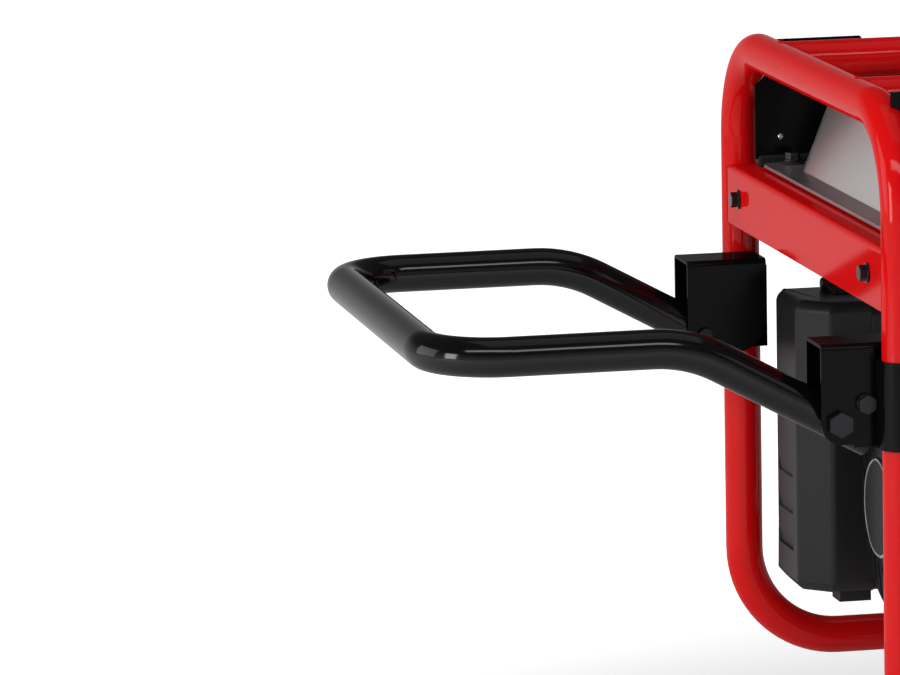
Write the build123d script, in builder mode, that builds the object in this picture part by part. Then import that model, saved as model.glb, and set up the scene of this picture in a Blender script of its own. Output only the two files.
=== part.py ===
from build123d import *
import os
from math import atan2, cos, radians, sin, sqrt

# Portable generator with a fold-down handle at one end and two wheels at the other.
# Millimetres. +X runs from the handle end to the wheel end, -Y is the control panel side,
# Z is up from the ground, and the origin is under the middle of the whole machine.

# Fits
running_gap = 0.05  # radial, shafts in their bores
free_gap = 0.5  # between pieces that move past each other
weld_gap = 0.1  # at coped tube ends and seats on round tubes

# Tube frame, sizes between tube centre lines
tube_d = 28.0
tube_wall = 2.0
frame_length = 612.0
frame_width = 461.0
frame_height = 459.5
hoop_bend = 70.0
foot_bend = 73.0
top_tube_spread = 220.0

# Folded sheet cross-members at both ends, heights from the rail axis
member_top = 368.5
member_height = 44.0
member_out = 12.0  # web face, outwards from the hoop plane
member_flange = 30.0
member_sheet = 2.5
fold_r = 4.0  # outer radius of folded sheet
tank_rail_y = 186.0
tank_rail_width = 24.0
tank_rail_height = 34.0

# Wheels
wheel_d = 190.0
wheel_width = 40.0
tyre_depth = 13.5
hub_proud = 15.0
spoke_reach = 65.0
spoke_root = 38.0
spoke_sweep = 87.0
spoke_start = 40.0
hub_cap_r = 20.3
hub_boss_r = 25.0
axle_d = 12.0
axle_drop = 20.0
axle_inset = 41.0
wheel_gap = 22.0  # rail axis to the back of the wheel

# Handle
handle_spread = 389.0
handle_reach = 319.0
handle_rise = 302.0
handle_corner = 50.0
handle_knee_bend = 100.0
handle_knee_out = 142.0
handle_stub = 31.0
pivot_out = 41.5
pivot_rise = 247.0
pivot_bolt_d = 10.0

# Handle brackets and straps
cheek_sheet = 2.5
cheek_out = 54.5
cheek_in = 6.0
cheek_top = 302.5
cheek_bottom = 232.0
cheek_corner = 15.0
cheek_far_corner = 25.0
strap_sheet = 2.0
strap_ear = 17.0
strap_hook = 12.0
strap_height = 62.0
strap_rise = 260.5
strap_bolt_d = 8.0
strap_bolt_seat = 13.4
arm_gap = 1.5
pivot_proud = 4.0

# Engine, heights from the rail axis and distances from the handle end hoop
mount_height = 25.0
engine_base = 22.0
crank_rise = 145.0
crank_y = -12.0
crank_d = 25.0
recoil_front = 40.0
blower_front = 72.0
case_front = 125.0
case_back = 250.0
stator_front = 272.0
stator_back = 452.0
bell_back = 545.0
recoil_r = 80.0
blower_r = 92.0
stator_r = 85.0
rotor_r = 61.5
rotor_gap = 1.0
tie_bolt_d = 7.0
tie_head = 11.0
tie_boss = 14.0
ring_proud = 2.0  # engine ring and end bell, over the core
cylinder_x = 188.0
cylinder_tilt = 25.0
barrel_from = 85.0
head_from = 135.0
cover_from = 180.0
cover_to = 214.0
shell_wall = 2.5

# Fuel tank
tank_seat = 4.0  # rubber between the rails and the flange
tank_flange_x = 7.0
tank_flange_half = 191.0
tank_flange_sheet = 2.4
tank_flange_corner = 9.0
tank_wall = 2.0
tank_foot_x = 25.0
tank_half = 171.0
tank_corner = 36.0
tank_rise = 66.0
tank_sink = 29.0
tank_lean = 26.0
tank_crown_r = 14.0
tank_floor_r = 10.0
tank_rib = 400.0
tank_rib_width = 26.0
tank_rib_height = 3.0
tank_rib_y = 72.0
neck_r = 26.0
neck_height = 13.0
filler_x = 250.0

# Control panel
panel_from = 21.0
panel_bottom = 312.0
panel_top = 474.0
panel_depth = 40.0
panel_wall = 3.0
socket_spacing = 84.0
socket_in = 91.0
breaker_in = 245.0
switch_in = 85.0
panel_ear = 19.0  # rear sheet reaching behind the handle end leg
panel_ear_bottom = 374.0

# Air cleaner
air_front = 9.0
air_back = 62.0
air_near = 80.0
air_far = 167.0
air_bottom = 63.0
air_top = 281.5
air_chamfer = 21.5
air_far_chamfer = 6.0
air_bevel = 5.0
air_heel = 8.0  # rise of the underside towards the far side
louvre_width = 41.5
louvre_height = 11.5
louvre_depth = 1.8
louvre_from = 91.0
louvre_pitch = 27.5
louvre_shift = 12.0

# Places worked out from the driving dimensions
tube_r = tube_d / 2
handle_end = handle_reach + tube_r
wheel_end = frame_length - axle_inset + wheel_d / 2
hoop_x = (handle_end - wheel_end) / 2
far_hoop_x = hoop_x + frame_length
weld_x = hoop_x + frame_length / 2
leg_y = frame_width / 2
axle_z = wheel_d / 2
axle_x = far_hoop_x - axle_inset
rail_z = axle_z + axle_drop
top_z = rail_z + frame_height
arm_y = handle_spread / 2
base_z = rail_z + engine_base
crank_z = rail_z + crank_rise
crank_r = crank_d / 2
member_z = rail_z + member_top
tank_rail_top = member_z - member_sheet
flange_z = tank_rail_top + tank_seat
tie_circle = stator_r + ring_proud + tie_head / sqrt(3) + free_gap


def hex_bolt(bolt_d, across, head, length, washer_d=0.0, washer=0.0):
    """A bolt with its seat at the origin, head up and shank down."""
    with BuildPart() as bolt:
        Cylinder(bolt_d / 2, length, align=(Align.CENTER, Align.CENTER, Align.MAX))
        if washer:
            Cylinder(washer_d / 2, washer, align=(Align.CENTER, Align.CENTER, Align.MIN))
        with BuildSketch(Plane.XY.offset(washer)):
            RegularPolygon(across / 2, 6, major_radius=False)
        extrude(amount=head)
    return bolt


def placed(master, *planes):
    """Copies of a piece, one on each plane."""
    with BuildPart() as copies:
        with Locations(*planes):
            add(master.part)
    return copies


# Tube frame
def frame_half(end_x, outer_r, inner_r=0.0):
    """One end hoop and its two half rails, bent from a single length."""
    with BuildPart() as half:
        with BuildLine() as centre_line:
            FilletPolyline(
                (weld_x, -leg_y, rail_z),
                (end_x, -leg_y, rail_z),
                (end_x, -leg_y, top_z),
                (end_x, leg_y, top_z),
                (end_x, leg_y, rail_z),
                (weld_x, leg_y, rail_z),
                radius=(foot_bend, hoop_bend, hoop_bend, foot_bend),
            )
        with BuildSketch(centre_line.line ^ 0):
            Circle(outer_r)
            if inner_r:
                Circle(inner_r, mode=Mode.SUBTRACT)
        sweep()
    return half


def top_tube(y):
    """A straight tube between the two crossbars, coped at its ends."""
    with BuildPart() as tube:
        with BuildSketch(Plane.YZ.offset(hoop_x)):
            with Locations((y, top_z)):
                Circle(tube_r)
                Circle(tube_r - tube_wall, mode=Mode.SUBTRACT)
        extrude(amount=frame_length)
        with Locations((hoop_x, y, top_z), (far_hoop_x, y, top_z)):
            Cylinder(tube_r + weld_gap, 2 * tube_d, rotation=(90, 0, 0), mode=Mode.SUBTRACT)
    return tube


def crossmember(end_x, inwards):
    """A folded angle between the legs, with its top flange turned in under the tank."""
    web_x = end_x - inwards * member_out
    with BuildPart() as member:
        with BuildSketch(Plane.XZ):
            with BuildLine():
                Polyline(
                    (web_x, member_z - member_height),
                    (web_x, member_z),
                    (web_x + inwards * member_flange, member_z),
                    (web_x + inwards * member_flange, member_z - member_sheet),
                    (web_x + inwards * member_sheet, member_z - member_sheet),
                    (web_x + inwards * member_sheet, member_z - member_height),
                    close=True,
                )
            make_face()
        extrude(amount=leg_y - 0.6 * tube_r, both=True)
        fold = member.edges().filter_by(Axis.Y).filter_by_position(Axis.Z, member_z - 0.1, member_z + 0.1)
        fillet(fold.sort_by(Axis.X)[0 if inwards > 0 else -1], fold_r)
        with Locations((end_x, -leg_y, member_z), (end_x, leg_y, member_z)):
            Cylinder(tube_r + weld_gap, 3 * member_height, mode=Mode.SUBTRACT)
        with Locations((web_x, -tank_rail_y, bolt_z), (web_x, tank_rail_y, bolt_z)):
            Cylinder(m6_hole_r, 3 * member_sheet, rotation=(0, 90, 0), mode=Mode.SUBTRACT)
    return member


m6_d = 6.0
m6_hole_r = m6_d / 2 + 0.3
bolt_z = member_z - member_height / 2
rail_from = hoop_x - member_out + member_sheet
rail_to = far_hoop_x + member_out - member_sheet
tank_bolt_in = 22.0  # tank bolts, from the ends of the flange
rail_sheet = 2.5

handle_end_hoop = frame_half(hoop_x, tube_r, tube_r - tube_wall)
wheel_end_hoop = frame_half(far_hoop_x, tube_r, tube_r - tube_wall)
top_tube_front = top_tube(-top_tube_spread / 2)
top_tube_rear = top_tube(top_tube_spread / 2)
handle_end_crossmember = crossmember(hoop_x, 1)
wheel_end_crossmember = crossmember(far_hoop_x, -1)

tank_bolt_x = (hoop_x + tank_flange_x + tank_bolt_in, far_hoop_x - tank_flange_x - tank_bolt_in)
tank_bolt_y = tank_rail_y - 4.0
shield_tab_x = (hoop_x + 60.0, far_hoop_x - 60.0)
shield_y = tank_rail_y + tank_rail_width / 2
shield_sheet = 2.0

# Tank rails: channels open at the bottom, with a plate at each end for the bolts
with BuildPart() as tank_rails:
    for y in (-tank_rail_y, tank_rail_y):
        with BuildSketch(Plane.YZ.offset(rail_from)):
            with Locations((y, tank_rail_top - tank_rail_height / 2)):
                Rectangle(tank_rail_width, tank_rail_height)
            with Locations((y, tank_rail_top - rail_sheet - tank_rail_height / 2)):
                Rectangle(tank_rail_width - 2 * rail_sheet, tank_rail_height, mode=Mode.SUBTRACT)
        extrude(amount=rail_to - rail_from)
        with Locations((rail_from, y, tank_rail_top)):
            Box(rail_sheet, tank_rail_width, tank_rail_height, align=(Align.MIN, Align.CENTER, Align.MAX))
        with Locations((rail_to, y, tank_rail_top)):
            Box(rail_sheet, tank_rail_width, tank_rail_height, align=(Align.MAX, Align.CENTER, Align.MAX))
        with Locations((rail_from, y, bolt_z), (rail_to, y, bolt_z)):
            Cylinder(m6_hole_r, 4 * rail_sheet, rotation=(0, 90, 0), mode=Mode.SUBTRACT)
        with Locations(*[(x, tank_bolt_y if y > 0 else -tank_bolt_y, tank_rail_top) for x in tank_bolt_x]):
            Cylinder(m6_hole_r, 4 * rail_sheet, mode=Mode.SUBTRACT)
    with Locations(*[(x, shield_y, tank_rail_top - tank_rail_height / 2) for x in shield_tab_x]):
        Cylinder(m6_hole_r, 4 * rail_sheet, rotation=(90, 0, 0), mode=Mode.SUBTRACT)

# Flange bolts: cross-members to tank rails, tank to rails, shield to the rear rail
m6_bolt = hex_bolt(m6_d, 10.0, 5.0, 14.0, 14.2, 1.6)
flange_bolts = placed(
    m6_bolt,
    *[Plane((hoop_x - member_out, y, bolt_z), z_dir=(-1, 0, 0)) for y in (-tank_rail_y, tank_rail_y)],
    *[Plane((far_hoop_x + member_out, y, bolt_z), z_dir=(1, 0, 0)) for y in (-tank_rail_y, tank_rail_y)],
    *[
        Plane((x, y, flange_z + tank_flange_sheet + tank_seat / 2))
        for x in tank_bolt_x
        for y in (-tank_bolt_y, tank_bolt_y)
    ],
    *[
        Plane((x, shield_y + shield_sheet, tank_rail_top - tank_rail_height / 2), z_dir=(0, 1, 0))
        for x in shield_tab_x
    ],
)

# Rubber washers under and over the tank flange
with BuildPart() as tank_rubbers:
    with Locations(*[(x, y, flange_z) for x in tank_bolt_x for y in (-tank_bolt_y, tank_bolt_y)]):
        Cylinder(9.0, tank_seat, align=(Align.CENTER, Align.CENTER, Align.MAX))
        Cylinder(4.8, tank_flange_sheet, align=(Align.CENTER, Align.CENTER, Align.MIN))
    with Locations(
        *[(x, y, flange_z + tank_flange_sheet) for x in tank_bolt_x for y in (-tank_bolt_y, tank_bolt_y)]
    ):
        Cylinder(9.0, tank_seat / 2, align=(Align.CENTER, Align.CENTER, Align.MIN))
    with Locations(*[(x, y, flange_z) for x in tank_bolt_x for y in (-tank_bolt_y, tank_bolt_y)]):
        Cylinder(m6_hole_r, 10 * tank_seat, mode=Mode.SUBTRACT)

# Mount cross-members: folded channels between the rails, under the engine and the alternator
mount_x = (hoop_x + 165.0, hoop_x + 505.0)
mount_y = 62.0
mount_width = 44.0
mount_depth = 22.0
mount_sheet = 3.0
mount_top = base_z - mount_height
mount_hole_r = 5.2
with BuildPart() as mount_crossmembers:
    for x in mount_x:
        with BuildSketch(Plane.XZ):
            with Locations((x, mount_top - mount_depth / 2)):
                Rectangle(mount_width, mount_depth)
            with Locations((x, mount_top - mount_sheet - mount_depth / 2)):
                Rectangle(mount_width - 2 * mount_sheet, mount_depth, mode=Mode.SUBTRACT)
        extrude(amount=leg_y, both=True)
    with Locations((weld_x, -leg_y, rail_z), (weld_x, leg_y, rail_z)):
        Cylinder(tube_r + weld_gap, frame_length, rotation=(0, 90, 0), mode=Mode.SUBTRACT)
    with Locations((weld_x, -leg_y - tube_r / 2, rail_z), (weld_x, leg_y + tube_r / 2, rail_z)):
        Box(frame_length, tube_d, 4 * tube_d, mode=Mode.SUBTRACT)
    with Locations(*[(x, crank_y + side * mount_y, mount_top) for x in mount_x for side in (-1, 1)]):
        Cylinder(mount_hole_r, 3 * mount_sheet, mode=Mode.SUBTRACT)

# Rubber mounts: waisted bobbins with a stud below
with BuildPart() as rubber_mount:
    with BuildSketch(Plane.XZ):
        with BuildLine():
            Polyline((0, 0), (19, 0), (19, 5))
            ThreePointArc((19, 5), (15.5, mount_height / 2), (19, mount_height - 5))
            Polyline((19, mount_height - 5), (19, mount_height), (0, mount_height), (0, 0))
        make_face()
    revolve(axis=Axis.Z)
    Cylinder(mount_hole_r - 0.2, 14.0, align=(Align.CENTER, Align.CENTER, Align.MAX))
rubber_mounts = placed(
    rubber_mount,
    *[Plane((x, crank_y + side * mount_y, mount_top)) for x in mount_x for side in (-1, 1)],
)

# Support leg under the engine cross-member, with rubber feet
leg_tube_d = 22.0
leg_bend = 45.0
leg_spread = 340.0
foot_height = 24.0
leg_top = mount_top - mount_depth
leg_plate = 3.0
with BuildPart() as support_leg:
    with BuildLine() as leg_line:
        FilletPolyline(
            (mount_x[0], -leg_spread / 2, leg_top - leg_plate),
            (mount_x[0], -leg_spread / 2, foot_height),
            (mount_x[0], leg_spread / 2, foot_height),
            (mount_x[0], leg_spread / 2, leg_top - leg_plate),
            radius=leg_bend,
        )
    with BuildSketch(leg_line.line ^ 0):
        Circle(leg_tube_d / 2)
        Circle(leg_tube_d / 2 - tube_wall, mode=Mode.SUBTRACT)
    sweep()
    with Locations((mount_x[0], -leg_spread / 2, leg_top), (mount_x[0], leg_spread / 2, leg_top)):
        Box(mount_width, 60.0, leg_plate, align=(Align.CENTER, Align.CENTER, Align.MAX))

foot_y = leg_spread / 2 - leg_bend - 30.0
with BuildPart() as rubber_feet:
    with BuildSketch():
        with Locations((mount_x[0], -foot_y), (mount_x[0], foot_y)):
            RectangleRounded(40.0, 52.0, 8.0)
    extrude(amount=foot_height, taper=4)
    with Locations((mount_x[0], 0, foot_height)):
        Cylinder(leg_tube_d / 2 + weld_gap, leg_spread, rotation=(90, 0, 0), mode=Mode.SUBTRACT)

# Axle, its brackets under the rails and its end clips
wheel_back = leg_y + wheel_gap
hub_depth = wheel_width + hub_proud
clip_seat = wheel_width + 1.0
axle_half = wheel_back + clip_seat + 6.0
bracket_sheet = 6.0
bracket_width = 64.0
collar_r = 10.0
with BuildPart() as axle_brackets:
    for side in (-1, 1):
        with BuildSketch(Plane.XZ.offset(-side * leg_y)):
            with BuildLine():
                Polyline(
                    (axle_x - collar_r - 5, axle_z - 4),
                    (axle_x - bracket_width / 2, rail_z),
                    (axle_x + bracket_width / 3, rail_z + tube_r),
                    (axle_x + collar_r + 5, axle_z - 4),
                )
                ThreePointArc(
                    (axle_x + collar_r + 5, axle_z - 4),
                    (axle_x, axle_z - collar_r - 5),
                    (axle_x - collar_r - 5, axle_z - 4),
                )
            make_face()
            with Locations((axle_x, axle_z)):
                Circle(axle_d / 2 + running_gap, mode=Mode.SUBTRACT)
        extrude(amount=bracket_sheet / 2, both=True)
    add(frame_half(far_hoop_x, tube_r + weld_gap).part, mode=Mode.SUBTRACT)

with BuildPart() as axle:
    with BuildSketch(Plane.XZ.offset(-axle_half)):
        with Locations((axle_x, axle_z)):
            Circle(axle_d / 2)
    extrude(amount=2 * axle_half)
    for side in (-1, 1):
        with BuildSketch(Plane.XZ.offset(-side * (leg_y + bracket_sheet / 2))):
            with Locations((axle_x, axle_z)):
                Circle(collar_r)
        extrude(amount=-side * (wheel_gap - bracket_sheet / 2 - free_gap))

with BuildPart() as axle_clip:
    with BuildSketch(Plane.XY.offset(clip_seat + free_gap)):
        Circle(13.0)
        Circle(axle_d / 2 + running_gap, mode=Mode.SUBTRACT)
        with PolarLocations(9.5, 6):
            Rectangle(3.0, 1.6, mode=Mode.SUBTRACT)
    extrude(amount=1.6)

# Wheels: tyre, three-spoke rim with its hub cap, modelled on a local axis and placed at each side
rim_r = wheel_d / 2 - tyre_depth
tread_grooves = 5
groove_pitch = 6.5
with BuildPart() as tyre:
    with BuildSketch(Plane.XZ) as tyre_section:
        with Locations((rim_r + tyre_depth / 2, wheel_width / 2)):
            Rectangle(tyre_depth, wheel_width)
        fillet(tyre_section.vertices().sort_by(Axis.X)[-2:], 4.0)
        with Locations((wheel_d / 2, wheel_width / 2)):
            with GridLocations(0, groove_pitch, 1, tread_grooves):
                Rectangle(3.2, 1.6, mode=Mode.SUBTRACT)
        with Locations((rim_r + tyre_depth / 2, wheel_width)):
            Rectangle(1.6, 2.0, mode=Mode.SUBTRACT)
    revolve(axis=Axis.Z)

spoke_skin = 5.0
spoke_wall = 4.0
with BuildSketch() as spoke_opening:
    with BuildLine():
        inner = PolarLine((0, 0), spoke_root, spoke_start, mode=Mode.PRIVATE) @ 1
        outer = PolarLine((0, 0), spoke_reach, spoke_start, mode=Mode.PRIVATE) @ 1
        sweep_end = PolarLine((0, 0), spoke_reach, spoke_start + spoke_sweep, mode=Mode.PRIVATE) @ 1
        Line(inner, outer)
        CenterArc((0, 0), spoke_reach, spoke_start, spoke_sweep)
        Line(sweep_end, inner)
    make_face()
    fillet(spoke_opening.vertices(), 5.5)

with BuildPart() as spoke_walls:
    with BuildSketch(Plane.XY.offset(spoke_wall)):
        with PolarLocations(0, 3):
            add(spoke_opening.sketch)
        offset(amount=spoke_wall)
    extrude(amount=2 * hub_depth)
    with BuildSketch(Plane.XZ):
        with BuildLine():
            Polyline(
                (0, 0),
                (spoke_reach + spoke_wall, 0),
                (spoke_reach + spoke_wall, wheel_width - spoke_skin / 2),
                (spoke_root, hub_depth - spoke_skin / 2),
                (0, hub_depth - spoke_skin / 2),
                close=True,
            )
        make_face()
    revolve(axis=Axis.Z, mode=Mode.INTERSECT)

with BuildPart() as wheel_rim:
    with BuildSketch(Plane.XZ):
        with BuildLine():
            Polyline(
                (spoke_reach, 1.0),
                (rim_r - weld_gap, 1.0),
                (rim_r - weld_gap, wheel_width - 1.0),
                (spoke_reach + 3.0, wheel_width - 1.0),
                (spoke_root, hub_depth),
                (0, hub_depth),
                (0, hub_depth - spoke_skin),
                (spoke_root - 1.0, hub_depth - spoke_skin),
                (spoke_reach, wheel_width - spoke_skin - 2.0),
                close=True,
            )
        make_face()
    revolve(axis=Axis.Z)
    add(spoke_walls.part)
    Cylinder(hub_boss_r, hub_depth - 1.0, align=(Align.CENTER, Align.CENTER, Align.MIN))
    with BuildSketch(Plane.XY):
        with PolarLocations(0, 3):
            add(spoke_opening.sketch)
    extrude(amount=2 * hub_depth, mode=Mode.SUBTRACT)
    with Locations((0, 0, hub_depth)):
        Cylinder(
            hub_cap_r + 0.2, 4.5, align=(Align.CENTER, Align.CENTER, Align.MAX), mode=Mode.SUBTRACT
        )
        Cylinder(
            18.0, hub_depth - clip_seat, align=(Align.CENTER, Align.CENTER, Align.MAX), mode=Mode.SUBTRACT
        )
    Cylinder(axle_d / 2 + running_gap, 4 * hub_depth, mode=Mode.SUBTRACT)

with BuildPart() as hub_cap:
    with BuildSketch(Plane.XY.offset(hub_depth - 4.5)):
        Circle(hub_cap_r)
    extrude(amount=6.0)
    fillet(hub_cap.edges().sort_by(Axis.Z)[-1], 1.5)

with BuildPart() as rim_and_cap:
    add(wheel_rim.part)
    add(hub_cap.part)

wheel_front = Plane((axle_x, -wheel_back, axle_z), x_dir=(1, 0, 0), z_dir=(0, -1, 0))
wheel_rear = Plane((axle_x, wheel_back, axle_z), x_dir=(1, 0, 0), z_dir=(0, 1, 0))
tyre_front = placed(tyre, wheel_front)
tyre_rear = placed(tyre, wheel_rear)
wheel_rim_front = placed(rim_and_cap, wheel_front)
wheel_rim_rear = placed(rim_and_cap, wheel_rear)
axle_clips = placed(axle_clip, wheel_front, wheel_rear)

# Handle: one bent tube, hung on a bolt at each arm
pivot_x = hoop_x - pivot_out
pivot_z = rail_z + pivot_rise
knee_x = hoop_x - handle_knee_out
grip_x = hoop_x - handle_reach
grip_z = rail_z + handle_rise
arm_slope = atan2(grip_z - pivot_z, pivot_x - knee_x)
stub_x = pivot_x + handle_stub * cos(arm_slope)
stub_z = pivot_z - handle_stub * sin(arm_slope)
with BuildPart() as handle_tube:
    with BuildLine() as handle_line:
        FilletPolyline(
            (stub_x, -arm_y, stub_z),
            (knee_x, -arm_y, grip_z),
            (grip_x, -arm_y, grip_z),
            (grip_x, arm_y, grip_z),
            (knee_x, arm_y, grip_z),
            (stub_x, arm_y, stub_z),
            radius=(handle_knee_bend, handle_corner, handle_corner, handle_knee_bend),
        )
    with BuildSketch(handle_line.line ^ 0):
        Circle(tube_r)
        Circle(tube_r - tube_wall, mode=Mode.SUBTRACT)
    sweep()
    with Locations((pivot_x, 0, pivot_z)):
        Cylinder(
            pivot_bolt_d / 2 + running_gap, 2 * handle_spread, rotation=(90, 0, 0), mode=Mode.SUBTRACT
        )

# Handle brackets: folded channels beside the legs, open outwards and downwards
strap_r = tube_r + strap_sheet
cheek_face_y = leg_y - tube_r + cheek_sheet
outer_cheek_y = cheek_face_y - cheek_sheet
inner_cheek_y = arm_y - tube_r - arm_gap
strap_bolt_x = hoop_x - strap_r - strap_bolt_seat / 2 - weld_gap
strap_z = rail_z + strap_rise
cheek_middle_z = rail_z + (cheek_top + cheek_bottom) / 2
cheek_height = cheek_top - cheek_bottom


def handle_bracket(side):
    """Two cheeks and a top web; the outer cheek ends at the leg's strap."""
    with BuildPart() as bracket:
        for face_y, end_x in ((inner_cheek_y, cheek_in), (cheek_face_y, -strap_r - 3 * weld_gap)):
            with BuildSketch(Plane.XZ.offset(-side * face_y)) as cheek:
                with Locations((hoop_x + (end_x - cheek_out) / 2, cheek_middle_z)):
                    Rectangle(end_x + cheek_out, cheek_height)
                fillet(cheek.vertices().group_by(Axis.Y)[0].sort_by(Axis.X)[0], cheek_corner)
                if face_y == inner_cheek_y:
                    fillet(cheek.vertices().group_by(Axis.Y)[0].sort_by(Axis.X)[-1], cheek_far_corner)
            extrude(amount=side * cheek_sheet)
        with Locations((hoop_x - cheek_out, side * (inner_cheek_y - cheek_sheet), rail_z + cheek_top)):
            Box(
                cheek_in + cheek_out,
                cheek_face_y - inner_cheek_y + cheek_sheet,
                cheek_sheet,
                align=(Align.MIN, Align.MIN if side > 0 else Align.MAX, Align.MAX),
            )
        crown = bracket.faces().sort_by(Axis.Z)[-1]
        fillet(crown.edges().filter_by(Axis.X), fold_r)
        with Locations((hoop_x, side * leg_y, rail_z + cheek_top)):
            Cylinder(tube_r + weld_gap, 4 * cheek_sheet, mode=Mode.SUBTRACT)
        with Locations((pivot_x, side * arm_y, pivot_z)):
            Cylinder(pivot_bolt_d / 2 + running_gap, tube_d * 3, rotation=(90, 0, 0), mode=Mode.SUBTRACT)
        with Locations((strap_bolt_x, side * cheek_face_y, strap_z)):
            Cylinder(strap_bolt_d / 2 + running_gap, 4 * cheek_sheet, rotation=(90, 0, 0), mode=Mode.SUBTRACT)
    return bracket


handle_bracket_front = handle_bracket(-1)
handle_bracket_rear = handle_bracket(1)

# Leg straps: saddles over the outer half of each leg, hooked behind it, with an ear under the cheek
with BuildPart() as leg_straps:
    for side in (-1, 1):
        hook_y = side * (outer_cheek_y - weld_gap - strap_sheet / 2)
        with BuildSketch(Plane.XY.offset(strap_z - strap_height / 2)):
            with Locations((hoop_x, side * leg_y)):
                Circle(strap_r)
            with Locations((hoop_x, side * (leg_y - (tube_r + strap_sheet + weld_gap) / 2))):
                Rectangle(2 * strap_r, tube_r + strap_sheet + weld_gap)
            with Locations((hoop_x, side * leg_y)):
                Circle(tube_r + weld_gap, mode=Mode.SUBTRACT)
            with Locations((hoop_x, side * (leg_y - tube_r))):
                Rectangle(2 * tube_r + 2 * weld_gap, 2 * tube_r, mode=Mode.SUBTRACT)
            with Locations((hoop_x - strap_r - strap_ear / 2 + strap_sheet, hook_y)):
                Rectangle(strap_ear, strap_sheet)
            with Locations((hoop_x + strap_r - strap_hook / 2, hook_y)):
                Rectangle(strap_hook, strap_sheet)
        extrude(amount=strap_height)
    with Locations((strap_bolt_x, 0, strap_z)):
        Cylinder(strap_bolt_d / 2 + running_gap, 2 * frame_width, rotation=(90, 0, 0), mode=Mode.SUBTRACT)

# Pivot bolts with their spacers, and strap bolts
pivot_bolt = hex_bolt(
    pivot_bolt_d, 16.0, 6.4, cheek_face_y - inner_cheek_y + cheek_sheet + pivot_proud
)
strap_bolt = hex_bolt(strap_bolt_d, 12.0, 5.3, strap_sheet + cheek_sheet + weld_gap, strap_bolt_seat, 1.4)
with BuildPart() as pivot_spacer:
    with BuildSketch():
        Circle(9.0)
        Circle(pivot_bolt_d / 2 + running_gap, mode=Mode.SUBTRACT)
    extrude(amount=outer_cheek_y - arm_y - tube_r - free_gap)
with BuildPart() as handle_bolts:
    for side in (-1, 1):
        with Locations(Plane((pivot_x, side * cheek_face_y, pivot_z), z_dir=(0, side, 0))):
            add(pivot_bolt.part)
        with Locations(Plane((pivot_x, side * outer_cheek_y, pivot_z), z_dir=(0, -side, 0))):
            add(pivot_spacer.part)
        strap_seat = Plane((strap_bolt_x, side * cheek_face_y, strap_z), x_dir=(0, 0, 1), z_dir=(0, side, 0))
        with Locations(strap_seat):
            add(strap_bolt.part)

# Fuel tank: two stamped halves on a flange, hollow, with a filler neck
tank_length = frame_length - 2 * tank_foot_x
flange_top = flange_z + tank_flange_sheet
tank_top = flange_top + tank_rise


def tank_form(inset):
    """The tank's two halves, pulled in by a wall thickness for the hollow."""
    base = (tank_length - 2 * inset, 2 * tank_half - 2 * inset)
    crown = (base[0] - 2 * tank_lean, base[1] - 10.0)
    floor_size = (base[0] - 50.0, base[1] - 50.0)
    corner = tank_corner - inset
    with BuildPart() as form:
        for size, level in ((crown, tank_top - inset), (floor_size, flange_z - tank_sink + inset)):
            with BuildSketch(Plane((weld_x, 0, flange_z))):
                RectangleRounded(*base, corner)
            with BuildSketch(Plane((weld_x, 0, level))):
                RectangleRounded(*size, corner)
            loft()
        fillet(form.faces().sort_by(Axis.Z)[-1].edges(), tank_crown_r - inset)
        fillet(form.faces().sort_by(Axis.Z)[0].edges(), tank_floor_r - inset)
    return form


with BuildPart() as fuel_tank:
    add(tank_form(0.0).part)
    with BuildSketch(Plane((weld_x, 0, flange_z))):
        RectangleRounded(frame_length - 2 * tank_flange_x, 2 * tank_flange_half, tank_flange_corner)
    extrude(amount=tank_flange_sheet)
    with Locations((hoop_x + filler_x, 0, tank_top - 4.0)):
        Cylinder(neck_r, neck_height + 4.0, align=(Align.CENTER, Align.CENTER, Align.MIN))
    for y in (-tank_rib_y, tank_rib_y):
        with BuildSketch(Plane((weld_x, y, tank_top))):
            SlotOverall(tank_rib, tank_rib_width)
        extrude(amount=tank_rib_height, taper=45)
    add(tank_form(tank_wall).part, mode=Mode.SUBTRACT)
    with Locations((hoop_x + filler_x, 0, tank_top)):
        Cylinder(neck_r - 4.0, 4 * neck_height, mode=Mode.SUBTRACT)
    with Locations(*[(x, y, flange_z) for x in tank_bolt_x for y in (-tank_bolt_y, tank_bolt_y)]):
        Cylinder(4.8 + weld_gap, 4 * tank_flange_sheet, mode=Mode.SUBTRACT)

# Filler cap: a cup over the neck with grip scallops
cap_r = 33.0
cap_height = 22.0
with BuildPart() as fuel_cap:
    with BuildSketch(Plane((hoop_x + filler_x, 0, tank_top + free_gap))):
        Circle(cap_r)
    extrude(amount=cap_height)
    fillet(fuel_cap.edges().sort_by(Axis.Z)[-1], 4.0)
    with Locations((hoop_x + filler_x, 0, tank_top)):
        with PolarLocations(cap_r + 3.0, 14):
            Cylinder(5.0, 3 * cap_height, mode=Mode.SUBTRACT)
    with Locations((hoop_x + filler_x, 0, tank_top)):
        Cylinder(
            neck_r + free_gap,
            neck_height + free_gap,
            align=(Align.CENTER, Align.CENTER, Align.MIN),
            mode=Mode.SUBTRACT,
        )

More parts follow.
